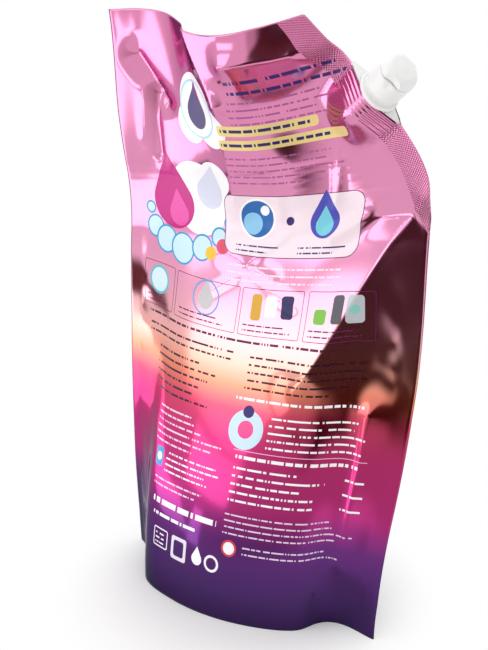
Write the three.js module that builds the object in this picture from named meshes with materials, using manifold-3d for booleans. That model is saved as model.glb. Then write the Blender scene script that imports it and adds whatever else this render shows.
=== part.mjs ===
// Stand-up refill pouch for a liquid, with a spout welded into its cut corner and a flip-top cap.
// Millimetres, +Z up. The pouch stands on z = 0, its side seals lie along X and its label side faces -Y.
import * as THREE from 'three';
import { mergeVertices } from 'three/addons/utils/BufferGeometryUtils.js';
import Module from 'manifold-3d';

const wasm = await Module();
wasm.setup();

// Film panel before it is filled
const FILM_WIDTH = 205;
const FILM_HEIGHT = 336;
const SIDE_SEAL = 9;
const TOP_SEAL = 11;
const SEAL_THICKNESS = 0.8;
const CUT_ACROSS = 59;
const CUT_DOWN = 99;
const SHOULDER_RADIUS = 45;

// Form of the filled pouch: depths of the label film at even stations from the left seal to the right one,
// measured from the line between the two bottom corners towards the label side
const BELLY_DEPTHS = [0, 14, 33, 39, 39, 33, 21, 0, 0];
const TOP_EDGE_DEPTHS = [10, 6, 7, 16, 27, 30, 27, 21, 13, -1, -26];
const WAIST_DEPTH_LEFT = -27;
const WAIST_DEPTH_RIGHT = -31;
const POUCH_DEPTH = 78;
const WAIST_GAP = 14;

// Heights on the film where the full belly ends and the slack film above it begins
const WAIST_LEFT = 222;
const WAIST_RIGHT = 242;

// Flank beside the spout-side seal: where it starts across the film, and how far back it lies half-way up
const FLANK_START = 140;
const FLANK_SETBACK = 8;

// Length of film, each way, over which the fold at the waist is rounded
const WAIST_ROUNDING = 20;

// Sideways place of the left seal at even stations from the bottom corner to the top corner
const LEFT_SEAL_LEAN = [0, -10, -21, -27, -17, -2];

// Length of film over which the two panels close towards the top seal
const CLOSING_LENGTH = 70;

// Turn of the spout corner: shift of the film per millimetre along the cut edge and into the film,
// the direction of that shift, and how far from the boat it fades out
const TURN_ALONG = -0.4;
const TURN_INWARD = 0.45;
const TURN_DIRECTION = [-0.52, 0.85, 0];
const TURN_REACH = 75;

// Bottom gusset: a skirt rim, a groove behind it and a flat floor
const SKIRT_RIM = 1.2;
const GUSSET_GROOVE = 6;
const GROOVE_DEPTH = 2.5;

// Creases of the label film: across and up to one end, across and up to the other, half width, and depth
// towards the label side
const TOP_FOLD = [74, 338, 92, 296, 16, 4];
const MIDDLE_FOLD = [92, 296, 85, 232, 18, 3];
const FLANK_RIDGE = [201, 234, 148, 140, 34, 7];
const TOP_SEAL_BEND = [104, 319, 140, 317, 24, 9.5];
const LEFT_DENT = [14, 312, 36, 286, 14, -4.5];
const LEFT_VALLEY = [28, 290, 28, 252, 10, -3];
const WAIST_DENT = [78, 201, 114, 189, 11, -1.6];
const SHOULDER_DENT = [196, 226, 176, 222, 13, -3];
const SIDE_BULGE = [182, 36, 184, 120, 24, 6];
const CREASES = [TOP_FOLD, MIDDLE_FOLD, FLANK_RIDGE, TOP_SEAL_BEND, LEFT_DENT, LEFT_VALLEY, WAIST_DENT,
  SHOULDER_DENT, SIDE_BULGE];

// Curves of the film: how much of the way to the waist is eased, and the powers of the rise above the waist,
// of the flank across and upwards, and of the section between the side seals
const WAIST_EASING_SHARE = 0.85;
const PANEL_POWER = 0.83;
const FLANK_POWER_ACROSS = 1.5;
const FLANK_POWER_UP = 1.6;
const SECTION_POWER = 0.8;

// Boat: the ribbed base of the spout between the two films
const BOAT_PLACE = 0.49;
const BOAT_LENGTH = 38;
const BOAT_WIDTH = 15.6;
const BOAT_HEIGHT = 12;
const BOAT_TIP = 1.2;
const BOAT_FLAT = 5;
const BOAT_RIBS = 5;
const RIB_DEPTH = 0.5;
const FILM_OVER_BOAT = 1.2;
const BOAT_FADE = 26;
const BOAT_TAPER = 14;
const CLEARANCE = 0.3;

// Spout above the film edge
const BORE_DIAMETER = 11.6;
const NECK_DIAMETER = 16;
const FLANGE_DIAMETER = 21.4;
const FLANGE_RISE = 1;
const FLANGE_THICKNESS = 2;
const NECK_LENGTH = 2.4;
const SEAT_DIAMETER = 14.6;
const SEAT_BEAD = 0.4;

// Flip-top cap: the collar on the seat and the lid over both
const CAP_DIAMETER = 18.8;
const COLLAR_HEIGHT = 10;
const COLLAR_CHAMFER = 0.4;
const LID_HEIGHT = 5.6;
const LID_FILLET = 4;
const LID_CROWN = 0.5;
const LID_WALL = 3.2;
const LID_ROOF = 1.6;
const PLUG_DEPTH = 3;
const PLUG_WALL = 0.9;
const CAP_TURN = 15;
const HINGE_WIDTH = 9;
const HINGE_EAR = 1.2;
const EAR_HEIGHT = 2.4;
const THUMB_WIDTH = 7;
const THUMB_HEIGHT = 4;
const THUMB_DEPTH = 1.4;
const SCOOP_RADIUS = 13;
const SCOOP_BITE = 2.6;

// Finish of the pieces
const FILM_MATERIAL = { color: 0xe079ae, roughness: 0.25, metalness: 0.7 };
const MOULDING_MATERIAL = { color: 0xf3f2f0, roughness: 0.45, metalness: 0 };

// Fineness of the facets
const LATTICE_STEP = 2.5;
const COLUMNS_LEFT = 22;
const COLUMNS_CUT = 17;
const BELLY_ROWS = 24;
const PANEL_ROWS = 37;
const ROUND_SEGMENTS = 36;
const FILLET_STEPS = 5;
const ROUNDING_STEPS = 4;
const WELD_DISTANCE = 1e-4;

// Values that follow from the sizes above
const CUT_LENGTH = Math.hypot(CUT_ACROSS, CUT_DOWN);
const CUT_START = FILM_WIDTH - CUT_ACROSS;
const CUT_SLOPE = CUT_DOWN / CUT_ACROSS;
const SHOULDER_RUN = SHOULDER_RADIUS * Math.tan(Math.atan2(CUT_ACROSS, CUT_DOWN) / 2);
const BOAT_S = CUT_START + CUT_ACROSS * BOAT_PLACE;
const BOAT_T = FILM_HEIGHT - CUT_DOWN * BOAT_PLACE;
const SEAT_BASE = FLANGE_RISE + FLANGE_THICKNESS + NECK_LENGTH;
const COLLAR_BASE = SEAT_BASE + CLEARANCE;
const PARTING = COLLAR_BASE + COLLAR_HEIGHT;
const LID_BASE = PARTING + CLEARANCE;
const LID_TOP = LID_BASE + LID_HEIGHT;
const CAP_RADIUS = CAP_DIAMETER / 2;

const clamp = (x) => Math.min(Math.max(x, 0), 1);
const ease = (x) => clamp(x) ** 2 * (3 - 2 * clamp(x));
const mix = (a, b, share) => a + (b - a) * share;

// Smooth line through even stations, read at a share of its length
function stations(depths) {
  const points = depths.map((depth, index) => new THREE.Vector2(index / (depths.length - 1), depth));
  const curve = new THREE.SplineCurve(points);
  return (share) => curve.getPoint(clamp(share)).y;
}

const bellyDepth = stations(BELLY_DEPTHS);
const topEdgeDepth = stations(TOP_EDGE_DEPTHS);
const leftSealLean = stations(LEFT_SEAL_LEAN);

// Share of the way from the belly to the waist, at a place on the film
function belowWaist(s, t) {
  const share = clamp(t / mix(WAIST_LEFT, WAIST_RIGHT, s / FILM_WIDTH));
  return mix(share, ease(share), WAIST_EASING_SHARE);
}

// Share of the way from the waist to the top edge
function aboveWaist(s, t) {
  const waist = mix(WAIST_LEFT, WAIST_RIGHT, s / FILM_WIDTH);
  return clamp((t - waist) / (FILM_HEIGHT - waist)) ** PANEL_POWER;
}

// Depth of the label film with a sharp fold at the waist
function foldedDepth(s, t) {
  const share = s / FILM_WIDTH;
  const waistDepth = mix(WAIST_DEPTH_LEFT, WAIST_DEPTH_RIGHT, share);
  const across = clamp((s - FLANK_START) / (FILM_WIDTH - FLANK_START)) ** FLANK_POWER_ACROSS;
  const upwards = clamp(t / mix(WAIST_LEFT, WAIST_RIGHT, share)) ** FLANK_POWER_UP;
  const flank = FLANK_SETBACK * across * Math.sin(Math.PI * upwards);
  const low = mix(bellyDepth(share), waistDepth, belowWaist(s, t)) - flank;
  return mix(low, topEdgeDepth(share), aboveWaist(s, t));
}

// Depth of the label film without its creases: the fold is rounded by a mean over a length of film
function sheetDepth(s, t) {
  const reach = Math.min(WAIST_ROUNDING, t, FILM_HEIGHT - t) / ROUNDING_STEPS;
  let sum = 0;
  for (let step = -ROUNDING_STEPS; step <= ROUNDING_STEPS; step += 1) {
    sum += foldedDepth(s, t + step * reach);
  }
  return sum / (2 * ROUNDING_STEPS + 1);
}

// The film does not stretch: rows keep their length across, columns keep theirs upwards
function layFilm() {
  const columns = Math.round(FILM_WIDTH / LATTICE_STEP);
  const rows = Math.round(FILM_HEIGHT / LATTICE_STEP);
  const ds = FILM_WIDTH / columns;
  const dt = FILM_HEIGHT / rows;
  const across = [];
  const height = [];
  for (let i = 0; i <= columns; i += 1) {
    across.push(new Float64Array(rows + 1));
    height.push(new Float64Array(rows + 1));
    for (let j = 0; j <= rows; j += 1) {
      const depth = sheetDepth(i * ds, j * dt);
      if (i === 0) {
        across[i][j] = leftSealLean(j / rows);
      } else {
        const slide = depth - sheetDepth((i - 1) * ds, j * dt);
        across[i][j] = across[i - 1][j] + Math.sqrt(Math.max(ds ** 2 - slide ** 2, 0));
      }
      if (j > 0) {
        const lean = depth - sheetDepth(i * ds, (j - 1) * dt);
        const drift = across[i][j] - across[i][j - 1];
        height[i][j] = height[i][j - 1] + Math.sqrt(Math.max(dt ** 2 - lean ** 2 - drift ** 2, 0));
      }
    }
  }
  return { across, height, columns, rows };
}

const film = layFilm();
const BASE_CHORD = film.across[film.columns][0];

// Reads a lattice between its points
function readLattice(lattice, s, t) {
  const i = clamp(s / FILM_WIDTH) * film.columns;
  const j = clamp(t / FILM_HEIGHT) * film.rows;
  const a = Math.min(Math.floor(i), film.columns - 1);
  const b = Math.min(Math.floor(j), film.rows - 1);
  const low = mix(lattice[a][b], lattice[a + 1][b], i - a);
  const high = mix(lattice[a][b + 1], lattice[a + 1][b + 1], i - a);
  return mix(low, high, j - b);
}

// Distance from the cut edge into the film, and distance along that edge from the middle of the boat
function cutFrame(s, t) {
  const inward = ((FILM_WIDTH - s) * CUT_DOWN + (FILM_HEIGHT - CUT_DOWN - t) * CUT_ACROSS) / CUT_LENGTH;
  const along = ((s - BOAT_S) * CUT_ACROSS - (t - BOAT_T) * CUT_DOWN) / CUT_LENGTH;
  return { inward, along };
}

// Half width of the boat at a distance along it from its middle
function boatHalfWidth(along) {
  const run = (BOAT_LENGTH - BOAT_FLAT) / 2;
  const share = clamp((BOAT_LENGTH / 2 - Math.abs(along)) / run);
  return mix(BOAT_TIP / 2, BOAT_WIDTH / 2, share);
}

// How firmly the boat holds the films at a place in its own frame: all over it, fading round it
function boatGrip(along, up) {
  const past = Math.abs(along) - BOAT_LENGTH / 2 - FILM_OVER_BOAT;
  const below = -up - BOAT_HEIGHT - FILM_OVER_BOAT;
  return (1 - ease(past / BOAT_TAPER)) * (1 - ease(below / BOAT_FADE));
}

// Sharp-topped ridge or valley along one crease, fading at its ends
function creaseDepth(s, t, [fromS, fromT, toS, toT, width, depth]) {
  const run = new THREE.Vector2(toS - fromS, toT - fromT);
  const place = new THREE.Vector2(s - fromS, t - fromT);
  const along = clamp(place.dot(run) / run.lengthSq());
  const away = place.distanceTo(run.clone().multiplyScalar(along)) / width;
  return depth * clamp(1 - away) ** 2;
}

// Thickness from the label film to the rear film, without the boat
function pouchThickness(s, t) {
  const share = clamp((s - SIDE_SEAL) / (FILM_WIDTH - 2 * SIDE_SEAL));
  const belowTop = Math.min(FILM_HEIGHT - t, cutFrame(s, t).inward) - TOP_SEAL;
  const full = mix(POUCH_DEPTH, WAIST_GAP, belowWaist(s, t));
  const section = Math.sin(Math.PI * share) ** SECTION_POWER;
  return SEAL_THICKNESS + full * section * ease(belowTop / CLOSING_LENGTH);
}

// Shift of the film where the spout corner is turned towards the label side
const turnDirection = new THREE.Vector3(...TURN_DIRECTION);
function cornerTurn(s, t) {
  const { inward, along } = cutFrame(s, t);
  const fade = 1 - ease((Math.hypot(inward, along) - BOAT_LENGTH / 2) / (TURN_REACH - BOAT_LENGTH / 2));
  return (TURN_ALONG * along + TURN_INWARD * inward) * fade;
}

// A point on the label film or the rear film, without the boat between them
function slackPoint(s, t, rear) {
  const thickness = pouchThickness(s, t);
  const creases = CREASES.reduce((sum, crease) => sum + creaseDepth(s, t, crease), 0);
  const shared = 1 - ease((thickness - WAIST_GAP / 2) / WAIST_GAP);
  const depth = sheetDepth(s, t) + (rear ? creases * shared - thickness : creases);
  const x = readLattice(film.across, s, t) - BASE_CHORD / 2;
  const point = new THREE.Vector3(x, -depth, readLattice(film.height, s, t));
  return point.addScaledVector(turnDirection, cornerTurn(s, t));
}

// Place of the spout: on the middle of the cut edge, along the film and square to that edge
function spoutMatrix() {
  const middle = (s, t) => slackPoint(s, t, false).lerp(slackPoint(s, t, true), 0.5);
  const step = BOAT_LENGTH / 2 / CUT_LENGTH;
  const origin = middle(BOAT_S, BOAT_T);
  const upper = middle(BOAT_S - CUT_ACROSS * step, BOAT_T + CUT_DOWN * step);
  const lower = middle(BOAT_S + CUT_ACROSS * step, BOAT_T - CUT_DOWN * step);
  const inside = middle(BOAT_S - CUT_DOWN * step, BOAT_T - CUT_ACROSS * step);
  const edge = lower.sub(upper).normalize();
  const outward = origin.clone().sub(inside).normalize();
  const rear = outward.clone().cross(edge).normalize();
  const axis = edge.cross(rear).add(outward).normalize();
  return new THREE.Matrix4().makeBasis(rear.clone().cross(axis), rear, axis).setPosition(origin);
}

const fitmentPlace = spoutMatrix();
const fitmentFrame = fitmentPlace.clone().invert();

// A point on either film, held by the boat between them
function filmPoint(s, t, rear) {
  const point = slackPoint(s, t, rear).applyMatrix4(fitmentFrame);
  const hold = boatHalfWidth(point.x) + CLEARANCE + FILM_OVER_BOAT;
  point.y = mix(point.y, rear ? hold : -hold, boatGrip(point.x, point.z));
  return point.applyMatrix4(fitmentPlace);
}

// Height of the film's upper edge: straight, slanted along the cut, then rounded into the side seal
function upperEdge(s) {
  if (s > FILM_WIDTH - SHOULDER_RUN * CUT_ACROSS / CUT_LENGTH) {
    const across = s - FILM_WIDTH + SHOULDER_RADIUS;
    const rise = Math.sqrt(Math.max(SHOULDER_RADIUS ** 2 - across ** 2, 0));
    return FILM_HEIGHT - CUT_DOWN - SHOULDER_RUN + rise;
  }
  return FILM_HEIGHT - Math.max(s - CUT_START, 0) * CUT_SLOPE;
}

// Width of the seal below the upper edge, measured upwards
function sealDrop(s) {
  const slanted = TOP_SEAL * CUT_LENGTH / CUT_ACROSS - Math.max(CUT_START - s, 0) * CUT_SLOPE;
  return Math.max(TOP_SEAL, slanted);
}

// Columns and rows of the panels, with lines on every seal edge
function panelColumns() {
  const columns = [0];
  for (let i = 0; i <= COLUMNS_LEFT; i += 1) {
    columns.push(mix(SIDE_SEAL, CUT_START, i / COLUMNS_LEFT));
  }
  for (let i = 1; i <= COLUMNS_CUT; i += 1) {
    columns.push(mix(CUT_START, FILM_WIDTH - SIDE_SEAL, i / COLUMNS_CUT));
  }
  columns.push(FILM_WIDTH - SIDE_SEAL / 2, FILM_WIDTH);
  return columns;
}
function panelRow(s, row) {
  const seal = upperEdge(s) - sealDrop(s);
  const waist = Math.min(mix(WAIST_LEFT, WAIST_RIGHT, s / FILM_WIDTH), seal - TOP_SEAL / 2);
  if (row <= BELLY_ROWS) {
    return waist * row / BELLY_ROWS;
  }
  if (row <= PANEL_ROWS) {
    return mix(waist, seal, (row - BELLY_ROWS) / (PANEL_ROWS - BELLY_ROWS));
  }
  return seal + sealDrop(s) * (row - PANEL_ROWS) / 2;
}

// Collects vertices and faces of one closed mesh
class Facets {
  constructor() {
    this.points = [];
    this.faces = [];
  }

  vertex(point) {
    this.points.push(point.x, point.y, point.z);
    return this.points.length / 3 - 1;
  }

  quad(a, b, c, d) {
    this.faces.push(a, b, c, a, c, d);
  }

  geometry() {
    const geometry = new THREE.BufferGeometry();
    geometry.setAttribute('position', new THREE.Float32BufferAttribute(this.points, 3));
    geometry.setIndex(this.faces);
    return geometry;
  }
}

// Underside of the gusset at one column, from the label film to the rear film
function gussetSection(front, rear) {
  const depth = rear.y - front.y;
  const inner = SKIRT_RIM + GUSSET_GROOVE;
  if (depth < 2 * inner + SKIRT_RIM) {
    return [];
  }
  const offsets = [SKIRT_RIM, SKIRT_RIM + GUSSET_GROOVE / 2, inner];
  const heights = [0, GROOVE_DEPTH, 0];
  const near = offsets.map((offset, k) => new THREE.Vector3(front.x, front.y + offset, heights[k]));
  const far = offsets.map((offset, k) => new THREE.Vector3(front.x, rear.y - offset, heights[k]));
  return near.concat(far.reverse());
}

// Pouch: both films, seals, gusset and contents as one closed body
function pouchGeometry() {
  const mesh = new Facets();
  const columns = panelColumns();
  const rows = PANEL_ROWS + 2;
  const panels = [false, true].map((rear) => columns.map((s) => {
    const line = [];
    for (let row = 0; row <= rows; row += 1) {
      line.push(mesh.vertex(filmPoint(s, panelRow(s, row), rear)));
    }
    return line;
  }));
  const [front, back] = panels;
  const last = columns.length - 1;
  for (let row = 0; row < rows; row += 1) {
    for (let i = 0; i < last; i += 1) {
      mesh.quad(front[i][row], front[i + 1][row], front[i + 1][row + 1], front[i][row + 1]);
      mesh.quad(back[i + 1][row], back[i][row], back[i][row + 1], back[i + 1][row + 1]);
    }
    mesh.quad(back[0][row], front[0][row], front[0][row + 1], back[0][row + 1]);
    mesh.quad(front[last][row], back[last][row], back[last][row + 1], front[last][row + 1]);
  }
  const strips = columns.map((s, i) => {
    const section = gussetSection(filmPoint(s, 0, false), filmPoint(s, 0, true));
    return [front[i][0], ...section.map((point) => mesh.vertex(point)), back[i][0]];
  });
  for (let i = 0; i < last; i += 1) {
    mesh.quad(front[i][rows], front[i + 1][rows], back[i + 1][rows], back[i][rows]);
    joinStrips(mesh, strips[i], strips[i + 1]);
  }
  return mesh.geometry();
}

// Faces between two lines of the gusset, where one may have fewer points than the other
function joinStrips(mesh, left, right) {
  let a = 0;
  let b = 0;
  while (a < left.length - 1 || b < right.length - 1) {
    const even = left.length === right.length && a < left.length - 1;
    if (b === right.length - 1 || (even && a <= b)) {
      mesh.faces.push(left[a], left[a + 1], right[b]);
      a += 1;
    } else {
      mesh.faces.push(left[a], right[b + 1], right[b]);
      b += 1;
    }
  }
}

// Closed geometry to solid and back
function solidOf(geometry) {
  const bare = geometry.clone();
  bare.deleteAttribute('normal');
  bare.deleteAttribute('uv');
  const merged = mergeVertices(bare, WELD_DISTANCE);
  return new wasm.Manifold(new wasm.Mesh({
    numProp: 3,
    vertProperties: new Float32Array(merged.attributes.position.array),
    triVerts: new Uint32Array(merged.index.array),
  }));
}
function geometryOf(solid) {
  const mesh = solid.getMesh();
  const geometry = new THREE.BufferGeometry();
  geometry.setAttribute('position', new THREE.BufferAttribute(mesh.vertProperties, 3));
  geometry.setIndex(new THREE.BufferAttribute(mesh.triVerts, 1));
  return geometry;
}

// Solid of revolution about Z from a profile of radius and height, listed upwards along its outside
function turned(profile) {
  const points = profile.map(([radius, height]) => new THREE.Vector2(radius, height));
  const geometry = new THREE.LatheGeometry(points, ROUND_SEGMENTS);
  geometry.rotateX(Math.PI / 2);
  return solidOf(geometry);
}

// Upright prism from an outline in X and Y
function prism(points, low, high) {
  const shape = new THREE.Shape(points.map(([x, y]) => new THREE.Vector2(x, y)));
  const geometry = new THREE.ExtrudeGeometry(shape, { depth: high - low, bevelEnabled: false });
  geometry.translate(0, 0, low);
  return solidOf(geometry);
}

function block(width, depth, height, x, y, z) {
  const geometry = new THREE.BoxGeometry(width, depth, height);
  geometry.translate(x, y, z);
  return solidOf(geometry);
}

// Outline of the boat, grown by an amount all round
function boatOutline(grow) {
  const end = BOAT_LENGTH / 2 + grow;
  const tip = BOAT_TIP / 2 + grow;
  const flat = BOAT_FLAT / 2;
  const side = BOAT_WIDTH / 2 + grow;
  return [[-end, -tip], [-flat, -side], [flat, -side], [end, -tip],
    [end, tip], [flat, side], [-flat, side], [-end, tip]];
}

// Spout: ribbed boat, flange, neck and cap seat with a bore through all of them
function spoutSolid() {
  const pitch = BOAT_HEIGHT / (2 * BOAT_RIBS - 1);
  let solid = prism(boatOutline(-RIB_DEPTH), pitch / 2 - BOAT_HEIGHT, -pitch / 2);
  for (let rib = 0; rib < BOAT_RIBS; rib += 1) {
    const low = -BOAT_HEIGHT + 2 * rib * pitch;
    solid = solid.add(prism(boatOutline(0), low, low + pitch));
  }
  const flange = FLANGE_DIAMETER / 2;
  const edge = FLANGE_THICKNESS / 4;
  const flangeTop = FLANGE_RISE + FLANGE_THICKNESS;
  const neck = NECK_DIAMETER / 2;
  const root = BOAT_WIDTH / 2 - 2 * RIB_DEPTH;
  const seat = SEAT_DIAMETER / 2;
  const bead = mix(COLLAR_BASE, PARTING, 0.5);
  const stem = turned([
    [0, -BOAT_HEIGHT / 2], [root, -BOAT_HEIGHT / 2], [root, FLANGE_RISE],
    [flange - edge, FLANGE_RISE], [flange, FLANGE_RISE + edge], [flange, flangeTop - edge],
    [flange - edge, flangeTop], [neck + edge, flangeTop], [neck, flangeTop + edge],
    [neck, SEAT_BASE], [seat, SEAT_BASE], [seat, bead - 2 * SEAT_BEAD], [seat + SEAT_BEAD, bead],
    [seat, bead + 2 * SEAT_BEAD], [seat, PARTING], [0, PARTING],
  ]);
  const bore = BORE_DIAMETER / 2;
  const below = -2 * BOAT_HEIGHT;
  const above = 2 * LID_TOP;
  const drill = turned([[0, below], [bore, below], [bore, above], [0, above]]);
  return solid.add(stem).subtract(drill);
}

// Collar: a ring snapped over the seat, with a hinge ear behind and a thumb wedge in front
function collarSolid() {
  const inner = SEAT_DIAMETER / 2 + CLEARANCE;
  const groove = inner + SEAT_BEAD;
  const bead = mix(COLLAR_BASE, PARTING, 0.5);
  const ring = turned([
    [inner, COLLAR_BASE], [CAP_RADIUS - COLLAR_CHAMFER, COLLAR_BASE],
    [CAP_RADIUS, COLLAR_BASE + COLLAR_CHAMFER], [CAP_RADIUS, PARTING], [inner, PARTING],
    [inner, bead + 2 * SEAT_BEAD], [groove, bead], [inner, bead - 2 * SEAT_BEAD], [inner, COLLAR_BASE],
  ]);
  const ear = block(HINGE_WIDTH, 2 * HINGE_EAR, EAR_HEIGHT, 0, CAP_RADIUS, PARTING - EAR_HEIGHT / 2);
  const wedge = new THREE.ExtrudeGeometry(new THREE.Shape([
    new THREE.Vector2(-THUMB_WIDTH / 2, 0), new THREE.Vector2(0, -THUMB_HEIGHT),
    new THREE.Vector2(THUMB_WIDTH / 2, 0),
  ]), { depth: 2 * THUMB_DEPTH, bevelEnabled: false });
  wedge.rotateX(Math.PI / 2);
  wedge.translate(0, THUMB_DEPTH - CAP_RADIUS, PARTING + CLEARANCE);
  return ring.add(ear).subtract(solidOf(wedge));
}

// Lid: a crowned shell with a plug for the bore, a hinge ear behind and a thumb scoop in front
function lidSolid() {
  const wall = CAP_RADIUS - LID_WALL;
  const roof = LID_TOP - LID_CROWN - LID_ROOF;
  const plug = BORE_DIAMETER / 2 - CLEARANCE;
  const shoulder = LID_TOP - LID_CROWN - LID_FILLET;
  const outside = [[CAP_RADIUS, LID_BASE]];
  for (let step = 0; step <= FILLET_STEPS; step += 1) {
    const angle = Math.PI / 2 * step / FILLET_STEPS;
    const radius = CAP_RADIUS - LID_FILLET + LID_FILLET * Math.cos(angle);
    outside.push([radius, shoulder + LID_FILLET * Math.sin(angle)]);
  }
  const shell = turned([
    [0, roof], [plug - PLUG_WALL, roof], [plug - PLUG_WALL, LID_BASE - PLUG_DEPTH],
    [plug, LID_BASE - PLUG_DEPTH], [plug, roof], [wall, roof], [wall, LID_BASE],
    ...outside, [0, LID_TOP],
  ]);
  const ear = block(HINGE_WIDTH, 2 * HINGE_EAR, EAR_HEIGHT, 0, CAP_RADIUS, LID_BASE + EAR_HEIGHT / 2);
  const wide = 2 * CAP_RADIUS;
  const keep = turned([
    [wall, LID_BASE], [wide, LID_BASE], [wide, LID_TOP], [wall, LID_TOP], [wall, LID_BASE],
  ]);
  const scoop = new THREE.SphereGeometry(SCOOP_RADIUS, ROUND_SEGMENTS / 2, ROUND_SEGMENTS / 4);
  scoop.translate(0, SCOOP_BITE - SCOOP_RADIUS - CAP_RADIUS, LID_BASE);
  return shell.add(ear.intersect(keep)).subtract(solidOf(scoop));
}

// Pouch with the socket that the boat is welded into
function pouchWithSocket() {
  const reach = FLANGE_DIAMETER / 2 + FLANGE_RISE;
  const aboveEdge = turned([[0, 0], [reach, 0], [reach, PARTING], [0, PARTING]]);
  const inFilm = prism(boatOutline(CLEARANCE), -BOAT_HEIGHT - CLEARANCE, BOAT_HEIGHT);
  const socket = geometryOf(inFilm.add(aboveEdge));
  socket.applyMatrix4(fitmentPlace);
  return geometryOf(solidOf(pouchGeometry()).subtract(solidOf(socket)));
}

function piece(name, geometry, finish) {
  const mesh = new THREE.Mesh(geometry, new THREE.MeshStandardMaterial(finish));
  mesh.name = name;
  return mesh;
}

const fitment = new THREE.Group();
fitment.add(piece('spout', geometryOf(spoutSolid()), MOULDING_MATERIAL));
const cap = new THREE.Group();
cap.add(piece('collar', geometryOf(collarSolid()), MOULDING_MATERIAL));
cap.add(piece('lid', geometryOf(lidSolid()), MOULDING_MATERIAL));
cap.rotation.z = THREE.MathUtils.degToRad(CAP_TURN);
fitment.add(cap);
fitmentPlace.decompose(fitment.position, fitment.quaternion, fitment.scale);

const pack = new THREE.Group();
pack.add(piece('pouch', pouchWithSocket(), FILM_MATERIAL));
pack.add(fitment);

export default pack;
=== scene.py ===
"""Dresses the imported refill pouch: printed metallised film, welded corner spout and flip-top cap."""
import logging
import math
from collections.abc import Callable
from dataclasses import dataclass, field
from enum import Enum

import bmesh
import bpy
import numpy as np
from bmesh.types import BMEdge, BMesh, BMVert
from bpy.types import Material, Node, NodeSocket, NodeTree, Object
from mathutils import Matrix, Vector


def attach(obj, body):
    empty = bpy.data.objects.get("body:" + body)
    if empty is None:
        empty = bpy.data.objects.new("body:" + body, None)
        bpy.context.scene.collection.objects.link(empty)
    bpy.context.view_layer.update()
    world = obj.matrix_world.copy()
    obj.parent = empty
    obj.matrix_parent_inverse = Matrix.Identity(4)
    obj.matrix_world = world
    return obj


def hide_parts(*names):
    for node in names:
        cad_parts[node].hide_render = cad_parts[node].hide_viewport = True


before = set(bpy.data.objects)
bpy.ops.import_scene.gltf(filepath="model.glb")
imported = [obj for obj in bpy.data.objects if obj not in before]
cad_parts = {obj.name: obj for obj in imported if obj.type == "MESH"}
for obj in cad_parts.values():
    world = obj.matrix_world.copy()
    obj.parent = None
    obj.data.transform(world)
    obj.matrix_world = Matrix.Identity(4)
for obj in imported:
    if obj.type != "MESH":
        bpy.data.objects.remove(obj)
LOG = logging.getLogger("refill_pouch")
MM = 0.001
Pair = tuple[float, float]
Triple = tuple[float, float, float]


def linear(hex_colour: str) -> tuple[float, float, float, float]:
    """Turns an sRGB hex colour into linear RGBA.

    Args:
        hex_colour: six hex digits, red first.

    Returns:
        The linear colour with full alpha.
    """
    values = [int(hex_colour[i:i + 2], 16) / 255 for i in (0, 2, 4)]
    spread = [v / 12.92 if v <= 0.04045 else ((v + 0.055) / 1.055) ** 2.4 for v in values]
    return (*spread, 1.0)


def wire(tree: NodeTree, node: Node, links: dict) -> None:
    """Sets a node's inputs.

    Args:
        tree: the node tree that holds the node.
        node: the node.
        links: input name or number to a plain value, an output socket, or a node, whose output in use
            is taken.
    """
    for name, value in links.items():
        if isinstance(value, Node):
            value = next(output for output in value.outputs if output.enabled)
        if isinstance(value, NodeSocket):
            tree.links.new(value, node.inputs[name])
        else:
            node.inputs[name].default_value = value


def add_node(tree: NodeTree, kind: str, links: dict | None = None,
             **settings: object) -> Node:
    """Adds a node, sets its properties and its inputs.

    Args:
        tree: the node tree that gets the node.
        kind: the node's type name without the ShaderNode prefix.
        links: its inputs, as wire takes them.
        **settings: properties of the node itself.

    Returns:
        The new node.
    """
    node = tree.nodes.new("ShaderNode" + kind)
    for name, value in settings.items():
        setattr(node, name, value)
    wire(tree, node, links or {})
    return node


def overlap(tree: NodeTree, masks: list[Node]) -> Node:
    """Multiplies masks, so that what all of them show is left.

    Args:
        tree: the node tree that holds the masks.
        masks: the masks.

    Returns:
        The node that gives their product.
    """
    whole = masks[0]
    for mask in masks[1:]:
        whole = add_node(tree, "Math", {0: whole, 1: mask}, operation="MULTIPLY")
    return whole


def new_material(name: str) -> tuple[Material, NodeTree, Node]:
    """Makes a material with nodes.

    Args:
        name: the material's name.

    Returns:
        The material, its node tree and its surface shader.
    """
    material = bpy.data.materials.new(name)
    material.use_nodes = True
    return material, material.node_tree, material.node_tree.nodes["Principled BSDF"]


def new_object(name: str, bm: BMesh) -> Object:
    """Makes an object at the origin from a finished mesh, which is freed.

    Args:
        name: name of the object and of its mesh.
        bm: the finished mesh.

    Returns:
        The object.
    """
    mesh = bpy.data.meshes.new(name)
    bm.to_mesh(mesh)
    bm.free()
    made = bpy.data.objects.new(name, mesh)
    bpy.context.scene.collection.objects.link(made)
    return made


def clamp(x: np.ndarray) -> np.ndarray:
    """Limits values to the range 0 to 1."""
    return np.clip(x, 0.0, 1.0)


def ease(x: np.ndarray) -> np.ndarray:
    """Smooth step from 0 to 1."""
    y = clamp(x)
    return y * y * (3 - 2 * y)


def mix(a: np.ndarray, b: np.ndarray, share: np.ndarray) -> np.ndarray:
    """Blends from a to b."""
    return a + (b - a) * share


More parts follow.
